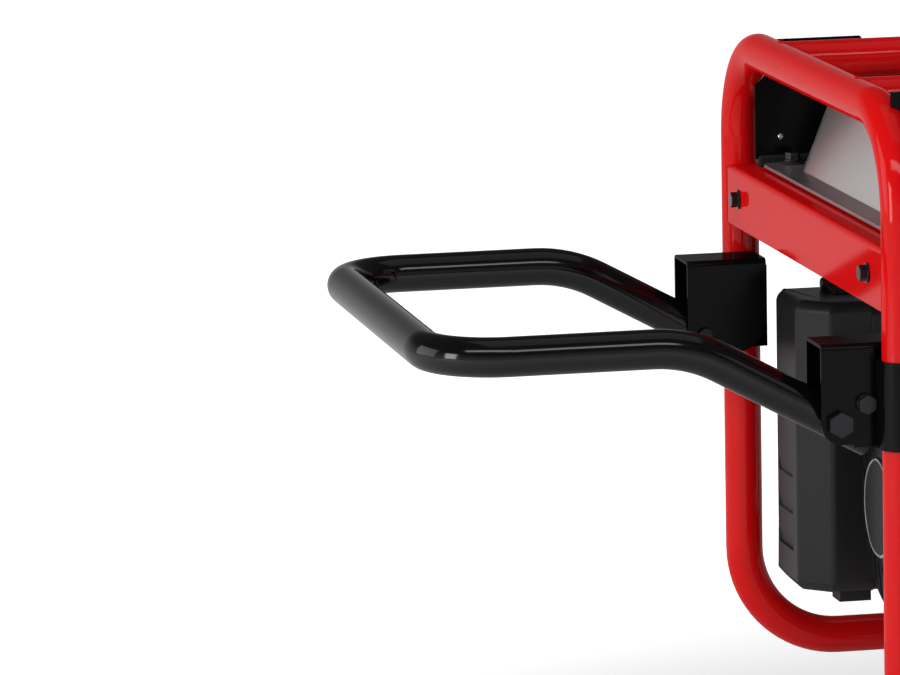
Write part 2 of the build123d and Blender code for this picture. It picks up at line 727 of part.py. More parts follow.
# Rear shield: black sheet beside the tank, with a raised ear at the handle end and tabs on the rail
shield_bottom = member_z + 6.0
shield_low = member_z + 70.0
shield_high = member_z + 96.0
shield_from = 4.5
shield_ear = 86.0
shield_tab = 26.0
shield_lip = 9.0
shield_lip_inset = 24.0
with BuildPart() as rear_shield:
    with BuildSketch(Plane.XZ.offset(-shield_y)):
        with BuildLine():
            Polyline(
                (hoop_x + shield_from, shield_bottom),
                (far_hoop_x - tube_r - 2, shield_bottom),
                (far_hoop_x - tube_r - 2, shield_low),
                (hoop_x + shield_ear + 20.0, shield_low),
                (hoop_x + shield_ear, shield_high),
                (hoop_x + shield_from, shield_high),
                close=True,
            )
        make_face()
        with Locations(*[(x, (shield_bottom + tank_rail_top - tank_rail_height) / 2) for x in shield_tab_x]):
            Rectangle(shield_tab, shield_bottom - tank_rail_top + tank_rail_height)
        with Locations(*[(x, tank_rail_top - tank_rail_height / 2) for x in shield_tab_x]):
            Circle(m6_hole_r, mode=Mode.SUBTRACT)
    extrude(amount=-shield_sheet)
    with Locations((hoop_x + shield_ear + shield_lip_inset, shield_y, shield_low)):
        Box(
            frame_length - shield_ear - 2 * shield_lip_inset,
            shield_lip,
            shield_sheet,
            align=(Align.MIN, Align.MAX, Align.MAX),
        )
    add(frame_half(hoop_x, tube_r + free_gap).part, mode=Mode.SUBTRACT)

# Crankcase with its sump, base plate, cylinder pad and the alternator ring
cylinder_plane = Plane(
    (hoop_x + cylinder_x, crank_y, crank_z),
    x_dir=(1, 0, 0),
    z_dir=(0, cos(radians(cylinder_tilt)), sin(radians(cylinder_tilt))),
)
cylinder_axis = Axis(cylinder_plane.origin, cylinder_plane.z_dir)
case_r = 76.0
sump_width = 172.0
sump_height = 64.0
base_plate = 12.0
bore_x = (case_front + case_back) / 2
with BuildPart() as crankcase:
    with BuildSketch(Plane.YZ.offset(hoop_x + case_front)):
        with Locations((crank_y, crank_z)):
            Circle(case_r)
        with Locations((crank_y, base_z + sump_height / 2)):
            Rectangle(sump_width, sump_height)
        make_hull()
    extrude(amount=case_back - case_front)
    with Locations((hoop_x + bore_x, crank_y, base_z)):
        Box(
            case_back - case_front - 10.0,
            sump_width + 24.0,
            base_plate,
            align=(Align.CENTER, Align.CENTER, Align.MIN),
        )
    with BuildSketch(cylinder_plane):
        RectangleRounded(104.0, 104.0, 12.0)
    extrude(amount=barrel_from)
    with BuildSketch(Plane.YZ.offset(hoop_x + case_back)):
        with Locations((crank_y, crank_z)):
            Circle(stator_r + ring_proud)
            Circle(rotor_r + 6.0, mode=Mode.SUBTRACT)
    extrude(amount=stator_front - case_back)
    with BuildSketch(Plane.YZ.offset(hoop_x + stator_front - tie_boss)):
        with Locations((crank_y, crank_z)):
            with PolarLocations(tie_circle, 4, 45):
                Circle(tie_boss / 2)
                with Locations((-tie_boss / 2, 0)):
                    Rectangle(tie_boss, tie_boss)
    extrude(amount=tie_boss)
    with BuildSketch(Plane.YZ.offset(hoop_x + stator_front - tie_boss)):
        with Locations((crank_y, crank_z)):
            with PolarLocations(tie_circle, 4, 45):
                Circle(tie_bolt_d / 2 + running_gap)
    extrude(amount=tie_boss, mode=Mode.SUBTRACT)
    with Locations((hoop_x + bore_x, crank_y, crank_z)):
        Cylinder(
            crank_r + running_gap, 2 * (case_back - case_front), rotation=(0, 90, 0), mode=Mode.SUBTRACT
        )

# Oil dipstick in the sump's front face
dipstick_z = base_z + 46.0
with BuildPart() as oil_dipstick:
    with BuildSketch(Plane.XZ.offset(-crank_y + sump_width / 2)):
        with Locations((hoop_x + case_front + 34.0, dipstick_z)):
            Circle(15.0)
    extrude(amount=10.0)
    with BuildSketch(Plane.XZ.offset(-crank_y + sump_width / 2 + 10.0)):
        with Locations((hoop_x + case_front + 34.0, dipstick_z)):
            Rectangle(24.0, 6.0)
    extrude(amount=11.0)

# Cylinder and head: blocks with cooling fins on the inclined axis
fin = 2.6
fin_pitch = 8.4
with BuildPart() as cylinder:
    with BuildSketch(cylinder_plane.offset(barrel_from)):
        RectangleRounded(86.0, 86.0, 22.0)
    extrude(amount=head_from - barrel_from)
    for step in range(5):
        with BuildSketch(cylinder_plane.offset(barrel_from + 6.0 + step * fin_pitch)):
            RectangleRounded(114.0, 108.0, 14.0)
        extrude(amount=fin)

head_width = 92.0
port_in = 157.0
port_up = -10.0
port = cylinder_plane.from_local_coords((0, port_up, port_in))
port_face = 62.0
port_boss_r = 20.0
with BuildPart() as cylinder_head:
    with BuildSketch(cylinder_plane.offset(head_from)):
        RectangleRounded(head_width, head_width, 16.0)
    extrude(amount=cover_from - head_from)
    for step in range(5):
        with BuildSketch(cylinder_plane.offset(head_from + 2.0 + step * fin_pitch)):
            RectangleRounded(118.0, 110.0, 14.0)
        extrude(amount=fin)
    with BuildSketch(Plane.YZ.offset(port.X - port_face)):
        with Locations((port.Y, port.Z)):
            Circle(port_boss_r)
    extrude(amount=2 * port_face)
    with Locations((port.X - port_face, port.Y, port.Z), (port.X + port_face, port.Y, port.Z)):
        Cylinder(11.0, 2 * (port_face - 30.0), rotation=(0, 90, 0), mode=Mode.SUBTRACT)

with BuildPart() as rocker_cover:
    with BuildSketch(cylinder_plane.offset(cover_from)):
        RectangleRounded(head_width + 6.0, 84.0, 16.0)
    extrude(amount=5.0)
    with BuildSketch(cylinder_plane.offset(cover_from + 5.0)):
        RectangleRounded(head_width - 6.0, 72.0, 14.0)
    extrude(amount=cover_to - cover_from - 5.0)
    fillet(rocker_cover.faces().sort_by(cylinder_axis)[-1].edges(), 6.0)

plug_cap_length = 26.0
lead_r = 3.5
lead_x = 112.0
lead_drop = 45.0
lead_z = crank_z - lead_drop

# Spark plug cap on the head's underside corner, with its lead to the blower housing
plug_plane = Plane(
    cylinder_plane.from_local_coords((-20.0, 55.0, 160.0)),
    x_dir=(1, 0, 0),
    z_dir=(0, sin(radians(cylinder_tilt)), -cos(radians(cylinder_tilt))),
)
with BuildPart() as spark_plug_cap:
    with BuildSketch(plug_plane):
        Circle(8.0)
    extrude(amount=plug_cap_length, taper=4)
    with BuildLine() as lead_line:
        FilletPolyline(
            plug_plane.from_local_coords((0, 0, plug_cap_length)),
            plug_plane.from_local_coords((0, 0, plug_cap_length + 20.0)),
            (hoop_x + 140.0, 165.0, lead_z),
            (hoop_x + lead_x, 112.0, lead_z),
            (hoop_x + lead_x, crank_y + sqrt(blower_r**2 - (lead_drop - lead_r) ** 2) + weld_gap, lead_z),
            radius=14.0,
        )
    with BuildSketch(lead_line.line ^ 0):
        Circle(lead_r)
    sweep()

# Blower housing around the flywheel, with a scroll towards the cylinder
scroll_r = 26.0
scroll_y = 66.0
scroll_z = crank_z + 72.0
with BuildPart() as blower_housing:
    with BuildSketch(Plane.YZ.offset(hoop_x + blower_front)):
        with Locations((crank_y, crank_z)):
            Circle(blower_r)
        with Locations((scroll_y, scroll_z)):
            Circle(scroll_r)
        make_hull()
    extrude(amount=case_front - blower_front)
    fillet(blower_housing.faces().sort_by(Axis.X)[0].edges(), 8.0)
    with BuildSketch(Plane.YZ.offset(hoop_x + blower_front + shell_wall)):
        with Locations((crank_y, crank_z)):
            Circle(blower_r - shell_wall)
        with Locations((scroll_y, scroll_z)):
            Circle(scroll_r - shell_wall)
        make_hull()
    extrude(amount=case_front - blower_front, mode=Mode.SUBTRACT)
    with BuildSketch(Plane.YZ.offset(hoop_x + blower_front)):
        with Locations((crank_y, crank_z)):
            Circle(recoil_r - 8.0)
    extrude(amount=shell_wall, mode=Mode.SUBTRACT)

# Recoil starter cover: dome, ring of radial slots, flange and centre post
dome_r = 37.0
post_r = 9.0
pulley_from = 12.0
recoil_cone = 9.0
slot_count = 24
slot_width = 4.8
guide_z = crank_z + 42.0
rope_x = hoop_x + recoil_front + pulley_from + 8.0
recoil_plane = Plane((hoop_x, crank_y, crank_z), x_dir=(0, 1, 0), z_dir=(1, 0, 0))
with BuildPart() as recoil_cover:
    with BuildSketch(Plane.XZ):
        with BuildLine():
            Polyline(
                (0, recoil_front),
                (dome_r - 3.0, recoil_front),
                (dome_r, recoil_front + 2.0),
                (recoil_r - 4.0, recoil_front + recoil_cone),
                (recoil_r, recoil_front + recoil_cone + 6.0),
                (recoil_r, blower_front),
                (recoil_r - shell_wall, blower_front),
                (recoil_r - shell_wall, recoil_front + recoil_cone + 7.0),
                (recoil_r - 6.0, recoil_front + recoil_cone + shell_wall),
                (dome_r, recoil_front + 2.0 + shell_wall),
                (dome_r - 3.0, recoil_front + shell_wall),
                (post_r, recoil_front + shell_wall),
                (post_r, recoil_front + pulley_from + 15.0),
                (0, recoil_front + pulley_from + 15.0),
                close=True,
            )
        make_face()
    revolve(axis=Axis.Z)
    with BuildSketch():
        with PolarLocations((dome_r + recoil_r) / 2, slot_count):
            SlotOverall(recoil_r - dome_r - 13.0, slot_width)
    extrude(amount=blower_front - 10.0, mode=Mode.SUBTRACT)
recoil_body = placed(recoil_cover, recoil_plane)

# Starter pulley on the post, with its rope groove
pulley_r = 46.0
pulley_front = recoil_front + pulley_from
with BuildPart() as pulley_form:
    with BuildSketch(Plane.XZ):
        with BuildLine():
            Polyline(
                (post_r + running_gap, pulley_front),
                (pulley_r, pulley_front),
                (pulley_r, pulley_front + 3.0),
                (pulley_r - 7.0, pulley_front + 5.0),
                (pulley_r - 7.0, pulley_front + 11.0),
                (pulley_r, pulley_front + 13.0),
                (pulley_r, pulley_front + 16.0),
                (post_r + running_gap, pulley_front + 16.0),
                close=True,
            )
        make_face()
    revolve(axis=Axis.Z)
starter_pulley = placed(pulley_form, recoil_plane)

# Starter grip: a T bar seated against the cover's rope guide
grip_y = crank_y - sqrt(recoil_r**2 - (guide_z - crank_z) ** 2)
guide_length = 14.0
grip_seat_y = grip_y - guide_length
grip_length = 84.0
with BuildPart() as recoil_with_guide:
    add(recoil_body.part)
    with BuildSketch(Plane.XZ.offset(-grip_seat_y)):
        with Locations((rope_x, guide_z)):
            Circle(9.0)
    extrude(amount=-guide_length - 6.0)
    with BuildSketch(Plane.XZ.offset(-grip_seat_y)):
        with Locations((rope_x, guide_z)):
            Circle(4.0)
    extrude(amount=-guide_length - 20.0, mode=Mode.SUBTRACT)
with BuildPart() as starter_grip:
    with BuildSketch(Plane.XY.offset(guide_z - grip_length / 2)):
        with Locations((rope_x, grip_seat_y - 17.0)):
            RectangleRounded(22.0, 24.0, 9.0)
    extrude(amount=grip_length)
    fillet(starter_grip.faces().filter_by(Axis.Z).edges(), 5.0)
    with BuildSketch(Plane.XZ.offset(-grip_seat_y + free_gap)):
        with Locations((rope_x, guide_z)):
            Circle(8.0)
    extrude(amount=10.0)

# Crankshaft, flywheel with its fan, and rotor turn together
with BuildPart() as crankshaft:
    with BuildSketch(Plane.YZ.offset(hoop_x + blower_front)):
        with Locations((crank_y, crank_z)):
            Circle(crank_r)
    extrude(amount=stator_front - blower_front)
flywheel_r = 78.0
flywheel_from = 84.0
with BuildPart() as flywheel_form:
    with BuildSketch(Plane.XZ):
        with BuildLine():
            Polyline(
                (crank_r + weld_gap, 98.0),
                (30.0, 98.0),
                (flywheel_r, 104.0),
                (flywheel_r, 120.0),
                (crank_r + weld_gap, 120.0),
                close=True,
            )
        make_face()
    revolve(axis=Axis.Z)
    with BuildSketch(Plane.XY.offset(flywheel_from)):
        with PolarLocations(59.0, 16):
            Rectangle(30.0, 2.4, rotation=25)
    extrude(amount=20.0)
flywheel = placed(flywheel_form, recoil_plane)

# Alternator: stator ring, rotor and the slotted end bell with its foot
bell_wall = 4.0
bearing_r = 10.0
with BuildPart() as stator:
    with BuildSketch(Plane.YZ.offset(hoop_x + stator_front)):
        with Locations((crank_y, crank_z)):
            Circle(stator_r)
            Circle(rotor_r + rotor_gap, mode=Mode.SUBTRACT)
    extrude(amount=stator_back - stator_front)
with BuildPart() as rotor:
    with BuildSketch(Plane.YZ.offset(hoop_x + stator_front)):
        with Locations((crank_y, crank_z)):
            Circle(rotor_r)
    extrude(amount=stator_back - stator_front)
    with BuildSketch(Plane.YZ.offset(hoop_x + stator_back)):
        with Locations((crank_y, crank_z)):
            Circle(22.0)
    extrude(amount=bell_back - stator_back - 30.0)
    with BuildSketch(Plane.YZ.offset(hoop_x + stator_back)):
        with Locations((crank_y, crank_z)):
            Circle(bearing_r)
    extrude(amount=bell_back - stator_back - 2.0)

with BuildPart() as alternator_bell:
    with BuildSketch(Plane.XZ):
        with BuildLine():
            Polyline(
                (bearing_r + running_gap, bell_back - 18.0),
                (20.0, bell_back - 18.0),
                (24.0, bell_back - bell_wall),
                (62.0, bell_back - bell_wall),
                (stator_r - bell_wall, bell_back - 24.0),
                (stator_r - bell_wall, stator_back),
                (stator_r + ring_proud, stator_back),
                (stator_r + ring_proud, bell_back - 24.0),
                (64.0, bell_back),
                (bearing_r + running_gap, bell_back),
                close=True,
            )
        make_face()
    revolve(axis=Axis.Z)
    with BuildSketch():
        with PolarLocations(44.0, 18):
            SlotOverall(28.0, 6.0)
    extrude(amount=2 * bell_back, mode=Mode.SUBTRACT)
    with BuildSketch(Plane.XY.offset(stator_back)):
        with PolarLocations(tie_circle, 4, 45):
            Circle(tie_boss / 2)
            with Locations((-tie_boss / 2, 0)):
                Rectangle(tie_boss, tie_boss)
    extrude(amount=tie_boss)
    with BuildSketch(Plane.XY.offset(stator_back)):
        with PolarLocations(tie_circle, 4, 45):
            Circle(tie_bolt_d / 2 + running_gap)
    extrude(amount=tie_boss, mode=Mode.SUBTRACT)
bell_body = placed(alternator_bell, recoil_plane)

# Long tie bolts clamp the core between the engine ring and the end bell
tie_bolt = hex_bolt(tie_bolt_d, tie_head, 5.0, stator_back - stator_front + 2 * tie_boss)
tie_step = tie_circle / sqrt(2)
alternator_bolts = placed(
    tie_bolt,
    *[
        Plane((hoop_x + stator_back + tie_boss, crank_y + y, crank_z + z), z_dir=(1, 0, 0))
        for y in (-tie_step, tie_step)
        for z in (-tie_step, tie_step)
    ],
)
with BuildPart() as alternator_bracket:
    add(bell_body.part)
    with BuildSketch(Plane.YZ.offset(mount_x[1] - mount_width / 2)):
        with Locations((crank_y, base_z + 6.0)):
            Rectangle(2 * mount_y + 44.0, 12.0)
        with Locations((crank_y, (base_z + crank_z) / 2)):
            Rectangle(90.0, crank_z - base_z)
        with Locations((crank_y, crank_z)):
            Circle(stator_r - bell_wall, mode=Mode.SUBTRACT)
    extrude(amount=30.0)

# Carburettor between the air cleaner and the intake port
air_plate = 8.0
carb_from = air_back + air_plate
carb_to = port.X - port_face - hoop_x
carb_bore_r = 11.0
choke_x = hoop_x + carb_from + 14.0
inlet_x = hoop_x + carb_from + 36.0
choke_r = 2.5
with BuildPart() as carburettor:
    with BuildSketch(Plane.YZ.offset(hoop_x + carb_from)):
        with Locations((port.Y, port.Z)):
            RectangleRounded(46.0, 40.0, 8.0)
    extrude(amount=4.0)
    with BuildSketch(Plane.YZ.offset(hoop_x + carb_from)):
        with Locations((port.Y, port.Z)):
            Circle(19.0)
    extrude(amount=carb_to - carb_from)
    with BuildSketch(Plane.YZ.offset(hoop_x + carb_to - 6.0)):
        with Locations((port.Y, port.Z)):
            RectangleRounded(46.0, 40.0, 8.0)
    extrude(amount=6.0)
    with BuildSketch(Plane((hoop_x + (carb_from + carb_to) / 2, port.Y, port.Z - 52.0))):
        Circle(20.0)
    extrude(amount=40.0)
    with BuildSketch(Plane((inlet_x, port.Y, port.Z))):
        Circle(5.0)
    extrude(amount=30.0)
    with BuildSketch(Plane((choke_x, port.Y, port.Z + 12.0))):
        Circle(6.0)
    extrude(amount=11.0)
    with BuildSketch(Plane.YZ.offset(hoop_x + carb_from)):
        with Locations((port.Y, port.Z)):
            Circle(carb_bore_r)
    extrude(amount=carb_to - carb_from, mode=Mode.SUBTRACT)
    with BuildSketch(Plane((choke_x, port.Y, port.Z + 13.0))):
        Circle(choke_r + running_gap)
    extrude(amount=20.0, mode=Mode.SUBTRACT)

choke_top = port.Z + 23.0 + free_gap
choke_reach = 36.0
with BuildPart() as choke_lever:
    with BuildSketch(Plane((choke_x, port.Y, choke_top))):
        Circle(5.5)
        with Locations((0, -choke_reach / 2)):
            Rectangle(8.0, choke_reach)
        with Locations((0, -choke_reach)):
            Circle(7.0)
    extrude(amount=3.0)
    with BuildSketch(Plane((choke_x, port.Y, choke_top))):
        Circle(choke_r)
    extrude(amount=-9.0)

# Air cleaner: base with its outlet, and the moulded cover
air_middle_y = (air_near + air_far) / 2
air_width = air_far - air_near
with BuildPart() as air_cleaner_base:
    with BuildSketch(Plane.YZ.offset(hoop_x + air_back)):
        with Locations((air_middle_y, rail_z + (air_bottom + air_top) / 2)):
            RectangleRounded(air_width, air_top - air_bottom, 12.0)
        with Locations((port.Y, port.Z)):
            Circle(carb_bore_r, mode=Mode.SUBTRACT)
    extrude(amount=air_plate)


def air_outline(inset):
    """Cover outline from above: cut corners towards the front, open at the base."""
    with BuildSketch() as outline:
        with BuildLine():
            Polyline(
                (hoop_x + air_front + inset, air_near + air_chamfer + 0.4 * inset),
                (hoop_x + air_front + air_chamfer + 0.4 * inset, air_near + inset),
                (hoop_x + air_back, air_near + inset),
                (hoop_x + air_back, air_far - inset),
                (hoop_x + air_front + air_far_chamfer + 0.4 * inset, air_far - inset),
                (hoop_x + air_front + inset, air_far - air_far_chamfer - 0.4 * inset),
                close=True,
            )
        make_face()
    return outline


with BuildPart() as air_cleaner_cover:
    with BuildSketch(Plane.XY.offset(rail_z + air_bottom)):
        add(air_outline(0.0).sketch)
    extrude(amount=air_top - air_bottom - air_bevel)
    with BuildSketch(Plane.XY.offset(rail_z + air_top - air_bevel)):
        add(air_outline(0.0).sketch)
    with BuildSketch(Plane.XY.offset(rail_z + air_top)):
        add(air_outline(air_bevel).sketch)
    loft()
    fillet(air_cleaner_cover.faces().sort_by(Axis.Z)[0].edges().sort_by(Axis.X)[:-1], 8.0)
    with Locations((hoop_x + air_back, air_near + 10.0, rail_z + air_bottom)):
        Box(24.0, 22.0, 16.0, align=(Align.MAX, Align.MIN, Align.CENTER))
    with BuildSketch(Plane.YZ.offset(hoop_x)):
        with BuildLine():
            Polyline(
                (air_near + air_chamfer, rail_z + air_bottom),
                (air_far, rail_z + air_bottom),
                (air_far, rail_z + air_bottom + air_heel),
                close=True,
            )
        make_face()
    extrude(amount=air_back, mode=Mode.SUBTRACT)
    with BuildSketch(Plane.XY.offset(rail_z + air_bottom + air_heel + shell_wall)):
        add(air_outline(shell_wall).sketch)
    extrude(amount=air_top - air_bottom - air_heel - 2 * shell_wall - air_bevel, mode=Mode.SUBTRACT)
    with BuildSketch(Plane.XZ.offset(-air_middle_y - louvre_shift)):
        for step in range(3):
            louvre_z = rail_z + louvre_from + step * louvre_pitch
            with BuildLine():
                Polyline(
                    (hoop_x + air_front, louvre_z),
                    (hoop_x + air_front + louvre_depth, louvre_z),
                    (hoop_x + air_front, louvre_z + louvre_height),
                    close=True,
                )
            make_face()
    extrude(amount=louvre_width / 2, both=True, mode=Mode.SUBTRACT)

# Muffler with rolled end seams and outlet, and its slotted guard
muffler_from = 262.0
muffler_to = 470.0
muffler_y = 150.0
muffler_z = rail_z + 226.0
muffler_size = 98.0
muffler_wall = 2.0
seam_size = 112.0
guard_sheet = 1.6
outlet_r = 11.0
with BuildPart() as muffler:
    with BuildSketch(Plane.YZ.offset(hoop_x + muffler_from)):
        with Locations((muffler_y, muffler_z)):
            RectangleRounded(muffler_size, muffler_size, 38.0)
    extrude(amount=muffler_to - muffler_from)
    for x in (muffler_from + 6.0, muffler_to - 12.0):
        with BuildSketch(Plane.YZ.offset(hoop_x + x)):
            with Locations((muffler_y, muffler_z)):
                RectangleRounded(seam_size, seam_size, 45.0)
        extrude(amount=6.0)
    with BuildSketch(Plane.YZ.offset(port.X + port_face)):
        with Locations((port.Y, port.Z)):
            Circle(15.0)
    extrude(amount=hoop_x + muffler_from + 20.0 - port.X - port_face)
    with BuildSketch(Plane.YZ.offset(hoop_x + muffler_from + muffler_wall)):
        with Locations((muffler_y, muffler_z)):
            RectangleRounded(
                muffler_size - 2 * muffler_wall, muffler_size - 2 * muffler_wall, 38.0 - muffler_wall
            )
    extrude(amount=muffler_to - muffler_from - 2 * muffler_wall, mode=Mode.SUBTRACT)
    with BuildSketch(Plane.YZ.offset(port.X + port_face)):
        with Locations((port.Y, port.Z)):
            Circle(carb_bore_r)
    extrude(amount=40.0, mode=Mode.SUBTRACT)
    with BuildSketch(Plane.YZ.offset(hoop_x + muffler_to - 4.0)):
        with Locations((muffler_y + 18.0, muffler_z - 14.0)):
            Circle(outlet_r + 2.0)
    extrude(amount=30.0)
    with BuildSketch(Plane.YZ.offset(hoop_x + muffler_to - 8.0)):
        with Locations((muffler_y + 18.0, muffler_z - 14.0)):
            Circle(outlet_r)
    extrude(amount=40.0, mode=Mode.SUBTRACT)

guard_size = seam_size + 2 * guard_sheet + 2 * weld_gap
with BuildPart() as muffler_guard:
    with BuildSketch(Plane.YZ.offset(hoop_x + muffler_from + 4.0)):
        with Locations((muffler_y, muffler_z)):
            RectangleRounded(guard_size, guard_size, 46.5)
            RectangleRounded(seam_size + 2 * weld_gap, seam_size + 2 * weld_gap, 45.0, mode=Mode.SUBTRACT)
        with Locations((muffler_y - guard_size / 2, muffler_z - guard_size / 2)):
            Rectangle(guard_size, guard_size, mode=Mode.SUBTRACT)
    extrude(amount=muffler_to - muffler_from - 8.0)
    guard_middle = hoop_x + (muffler_from + muffler_to) / 2
    with Locations(Plane((guard_middle, muffler_y, muffler_z), x_dir=(1, 0, 0), z_dir=(0, 1, 0))):
        with GridLocations(22.0, 0, 8, 1):
            Box(9.0, 44.0, 4 * seam_size, align=(Align.CENTER, Align.CENTER, Align.MIN), mode=Mode.SUBTRACT)
    with Locations((guard_middle, muffler_y, muffler_z)):
        with GridLocations(22.0, 0, 8, 1):
            Box(9.0, 36.0, 4 * seam_size, align=(Align.CENTER, Align.CENTER, Align.MIN), mode=Mode.SUBTRACT)

# Fuel valve under the tank, its lever and the hose to the carburettor
valve_x = hoop_x + 112.0
valve_y = 112.0
valve_top = flange_z - tank_sink
valve_pin_r = 2.5
valve_z = valve_top - 16.0
with BuildPart() as fuel_valve:
    with BuildSketch(Plane((valve_x, valve_y, valve_top))):
        Circle(9.0)
    extrude(amount=-26.0)
    with BuildSketch(Plane((valve_x, valve_y, valve_top - 26.0))):
        Circle(4.5)
    extrude(amount=-12.0)
    with BuildSketch(Plane.YZ.offset(valve_x - 12.0)):
        with Locations((valve_y, valve_z)):
            Circle(7.0)
    extrude(amount=12.0)
    with BuildSketch(Plane.YZ.offset(valve_x - 12.0)):
        with Locations((valve_y, valve_z)):
            Circle(valve_pin_r + running_gap)
    extrude(amount=10.0, mode=Mode.SUBTRACT)
valve_reach = 26.0
with BuildPart() as fuel_valve_lever:
    with BuildSketch(Plane.YZ.offset(valve_x - 12.0 - free_gap)):
        with Locations((valve_y, valve_z)):
            Circle(7.0)
        with Locations((valve_y, valve_z - valve_reach / 2)):
            Rectangle(8.0, valve_reach)
    extrude(amount=-5.0)
    with BuildSketch(Plane.YZ.offset(valve_x - 12.0 - free_gap)):
        with Locations((valve_y, valve_z)):
            Circle(valve_pin_r)
    extrude(amount=9.0)

hose_r = 4.0
hose_top = valve_top - 38.0
hose_bottom = port.Z + 30.0
with BuildPart() as fuel_hose:
    with BuildLine() as hose_line:
        FilletPolyline(
            (valve_x, valve_y, hose_top),
            (valve_x, valve_y, hose_top - 0.3 * (hose_top - hose_bottom)),
            (inlet_x, port.Y, hose_bottom + 0.3 * (hose_top - hose_bottom)),
            (inlet_x, port.Y, hose_bottom),
            radius=14.0,
        )
    with BuildSketch(hose_line.line ^ 0):
        Circle(hose_r)
    sweep()

# Control panel: tray, fascia with its fittings' collars, sockets, lids, switch and breaker
panel_back = tank_rail_y + tank_rail_width / 2
panel_front = panel_back + panel_depth
panel_to = frame_length - panel_from
panel_x = hoop_x + (panel_from + panel_to) / 2
panel_z = rail_z + (panel_bottom + panel_top) / 2
panel_size = (panel_to - panel_from, panel_top - panel_bottom)
fascia_sheet = 3.0
fascia_face = panel_front - 3.0
socket_x = (hoop_x + panel_to - socket_in - socket_spacing, hoop_x + panel_to - socket_in)
socket_z = panel_z - 16.0
socket_r = 24.0
switch_x = hoop_x + panel_from + switch_in
breaker_x = hoop_x + panel_to - breaker_in
with BuildPart() as panel_housing:
    with BuildSketch(Plane.XZ.offset(panel_back)):
        with Locations((panel_x, panel_z)):
            RectangleRounded(*panel_size, 14.0)
    extrude(amount=panel_depth)
    with BuildSketch(Plane.XZ.offset(panel_back + panel_wall)):
        with Locations((panel_x, panel_z)):
            RectangleRounded(panel_size[0] - 2 * panel_wall, panel_size[1] - 2 * panel_wall, 11.0)
    extrude(amount=panel_depth, mode=Mode.SUBTRACT)
    with BuildSketch(Plane.XZ.offset(panel_back + panel_wall)):
        with Locations((panel_x, panel_z)):
            with GridLocations(panel_size[0] - 30.0, panel_size[1] - 30.0, 2, 2):
                Circle(6.0)
    extrude(amount=panel_depth - panel_wall - 3.0 - fascia_sheet)
    with Locations((hoop_x + panel_from + 14.0, -panel_back, rail_z + panel_top)):
        Box(
            panel_ear + 14.0,
            panel_wall,
            panel_top - panel_ear_bottom,
            align=(Align.MAX, Align.MAX, Align.MAX),
        )
    add(frame_half(hoop_x, tube_r + free_gap).part, mode=Mode.SUBTRACT)

switch_size = (17.0, 32.0)
switch_depth = 15.0
switch_pin_r = 1.5
switch_pin_y = fascia_face - 6.0
breaker_r = 6.0
with BuildPart() as panel_fascia:
    with BuildSketch(Plane.XZ.offset(fascia_face - fascia_sheet)):
        with Locations((panel_x, panel_z)):
            RectangleRounded(
                panel_size[0] - 2 * panel_wall - 2 * free_gap,
                panel_size[1] - 2 * panel_wall - 2 * free_gap,
                10.0,
            )
        with Locations(*[(x, socket_z) for x in socket_x]):
            Circle(socket_r + free_gap, mode=Mode.SUBTRACT)
    extrude(amount=fascia_sheet)
    with BuildSketch(Plane.XZ.offset(fascia_face - switch_depth)):
        with Locations((switch_x, socket_z)):
            RectangleRounded(switch_size[0] + 7.0, switch_size[1] + 9.0, 3.0)
        with Locations((breaker_x, socket_z)):
            Circle(breaker_r + 4.0)
    extrude(amount=switch_depth + 2.0)
    with BuildSketch(Plane.XZ.offset(fascia_face - 2 * switch_depth)):
        with Locations((switch_x, socket_z)):
            Rectangle(*switch_size)
        with Locations((breaker_x, socket_z)):
            Circle(breaker_r + running_gap)
    extrude(amount=4 * switch_depth, mode=Mode.SUBTRACT)
    with Locations((switch_x, -switch_pin_y, socket_z)):
        Cylinder(
            switch_pin_r + running_gap, switch_size[0] + 5.0, rotation=(0, 90, 0), mode=Mode.SUBTRACT
        )

with BuildPart() as engine_switch:
    with BuildSketch(Plane.YZ.offset(switch_x - switch_size[0] / 2 + free_gap)):
        with BuildLine():
            Polyline(
                (-fascia_face - 5.5, socket_z + 11.6),
                (-fascia_face - 1.6, socket_z),
                (-fascia_face - 1.0, socket_z - 11.6),
                (-fascia_face + 8.0, socket_z - 9.0),
                (-fascia_face + 10.0, socket_z),
                (-fascia_face + 8.0, socket_z + 9.0),
                close=True,
            )
        make_face()
    extrude(amount=switch_size[0] - 2 * free_gap)
    with Locations((switch_x, -switch_pin_y, socket_z)):
        Cylinder(switch_pin_r, switch_size[0] + 4.0, rotation=(0, 90, 0))

breaker_travel = 2.5
with BuildPart() as breaker_button:
    with BuildSketch(Plane.XZ.offset(fascia_face - switch_depth - breaker_travel)):
        with Locations((breaker_x, socket_z)):
            Circle(breaker_r)
    extrude(amount=switch_depth + 2.0 + 2 * breaker_travel)
    fillet(breaker_button.edges().sort_by(Axis.Y)[0], 1.2)
    with BuildSketch(Plane.XZ.offset(fascia_face - switch_depth - free_gap)):
        with Locations((breaker_x, socket_z)):
            Circle(breaker_r + 2.0)
    extrude(amount=-2.0)

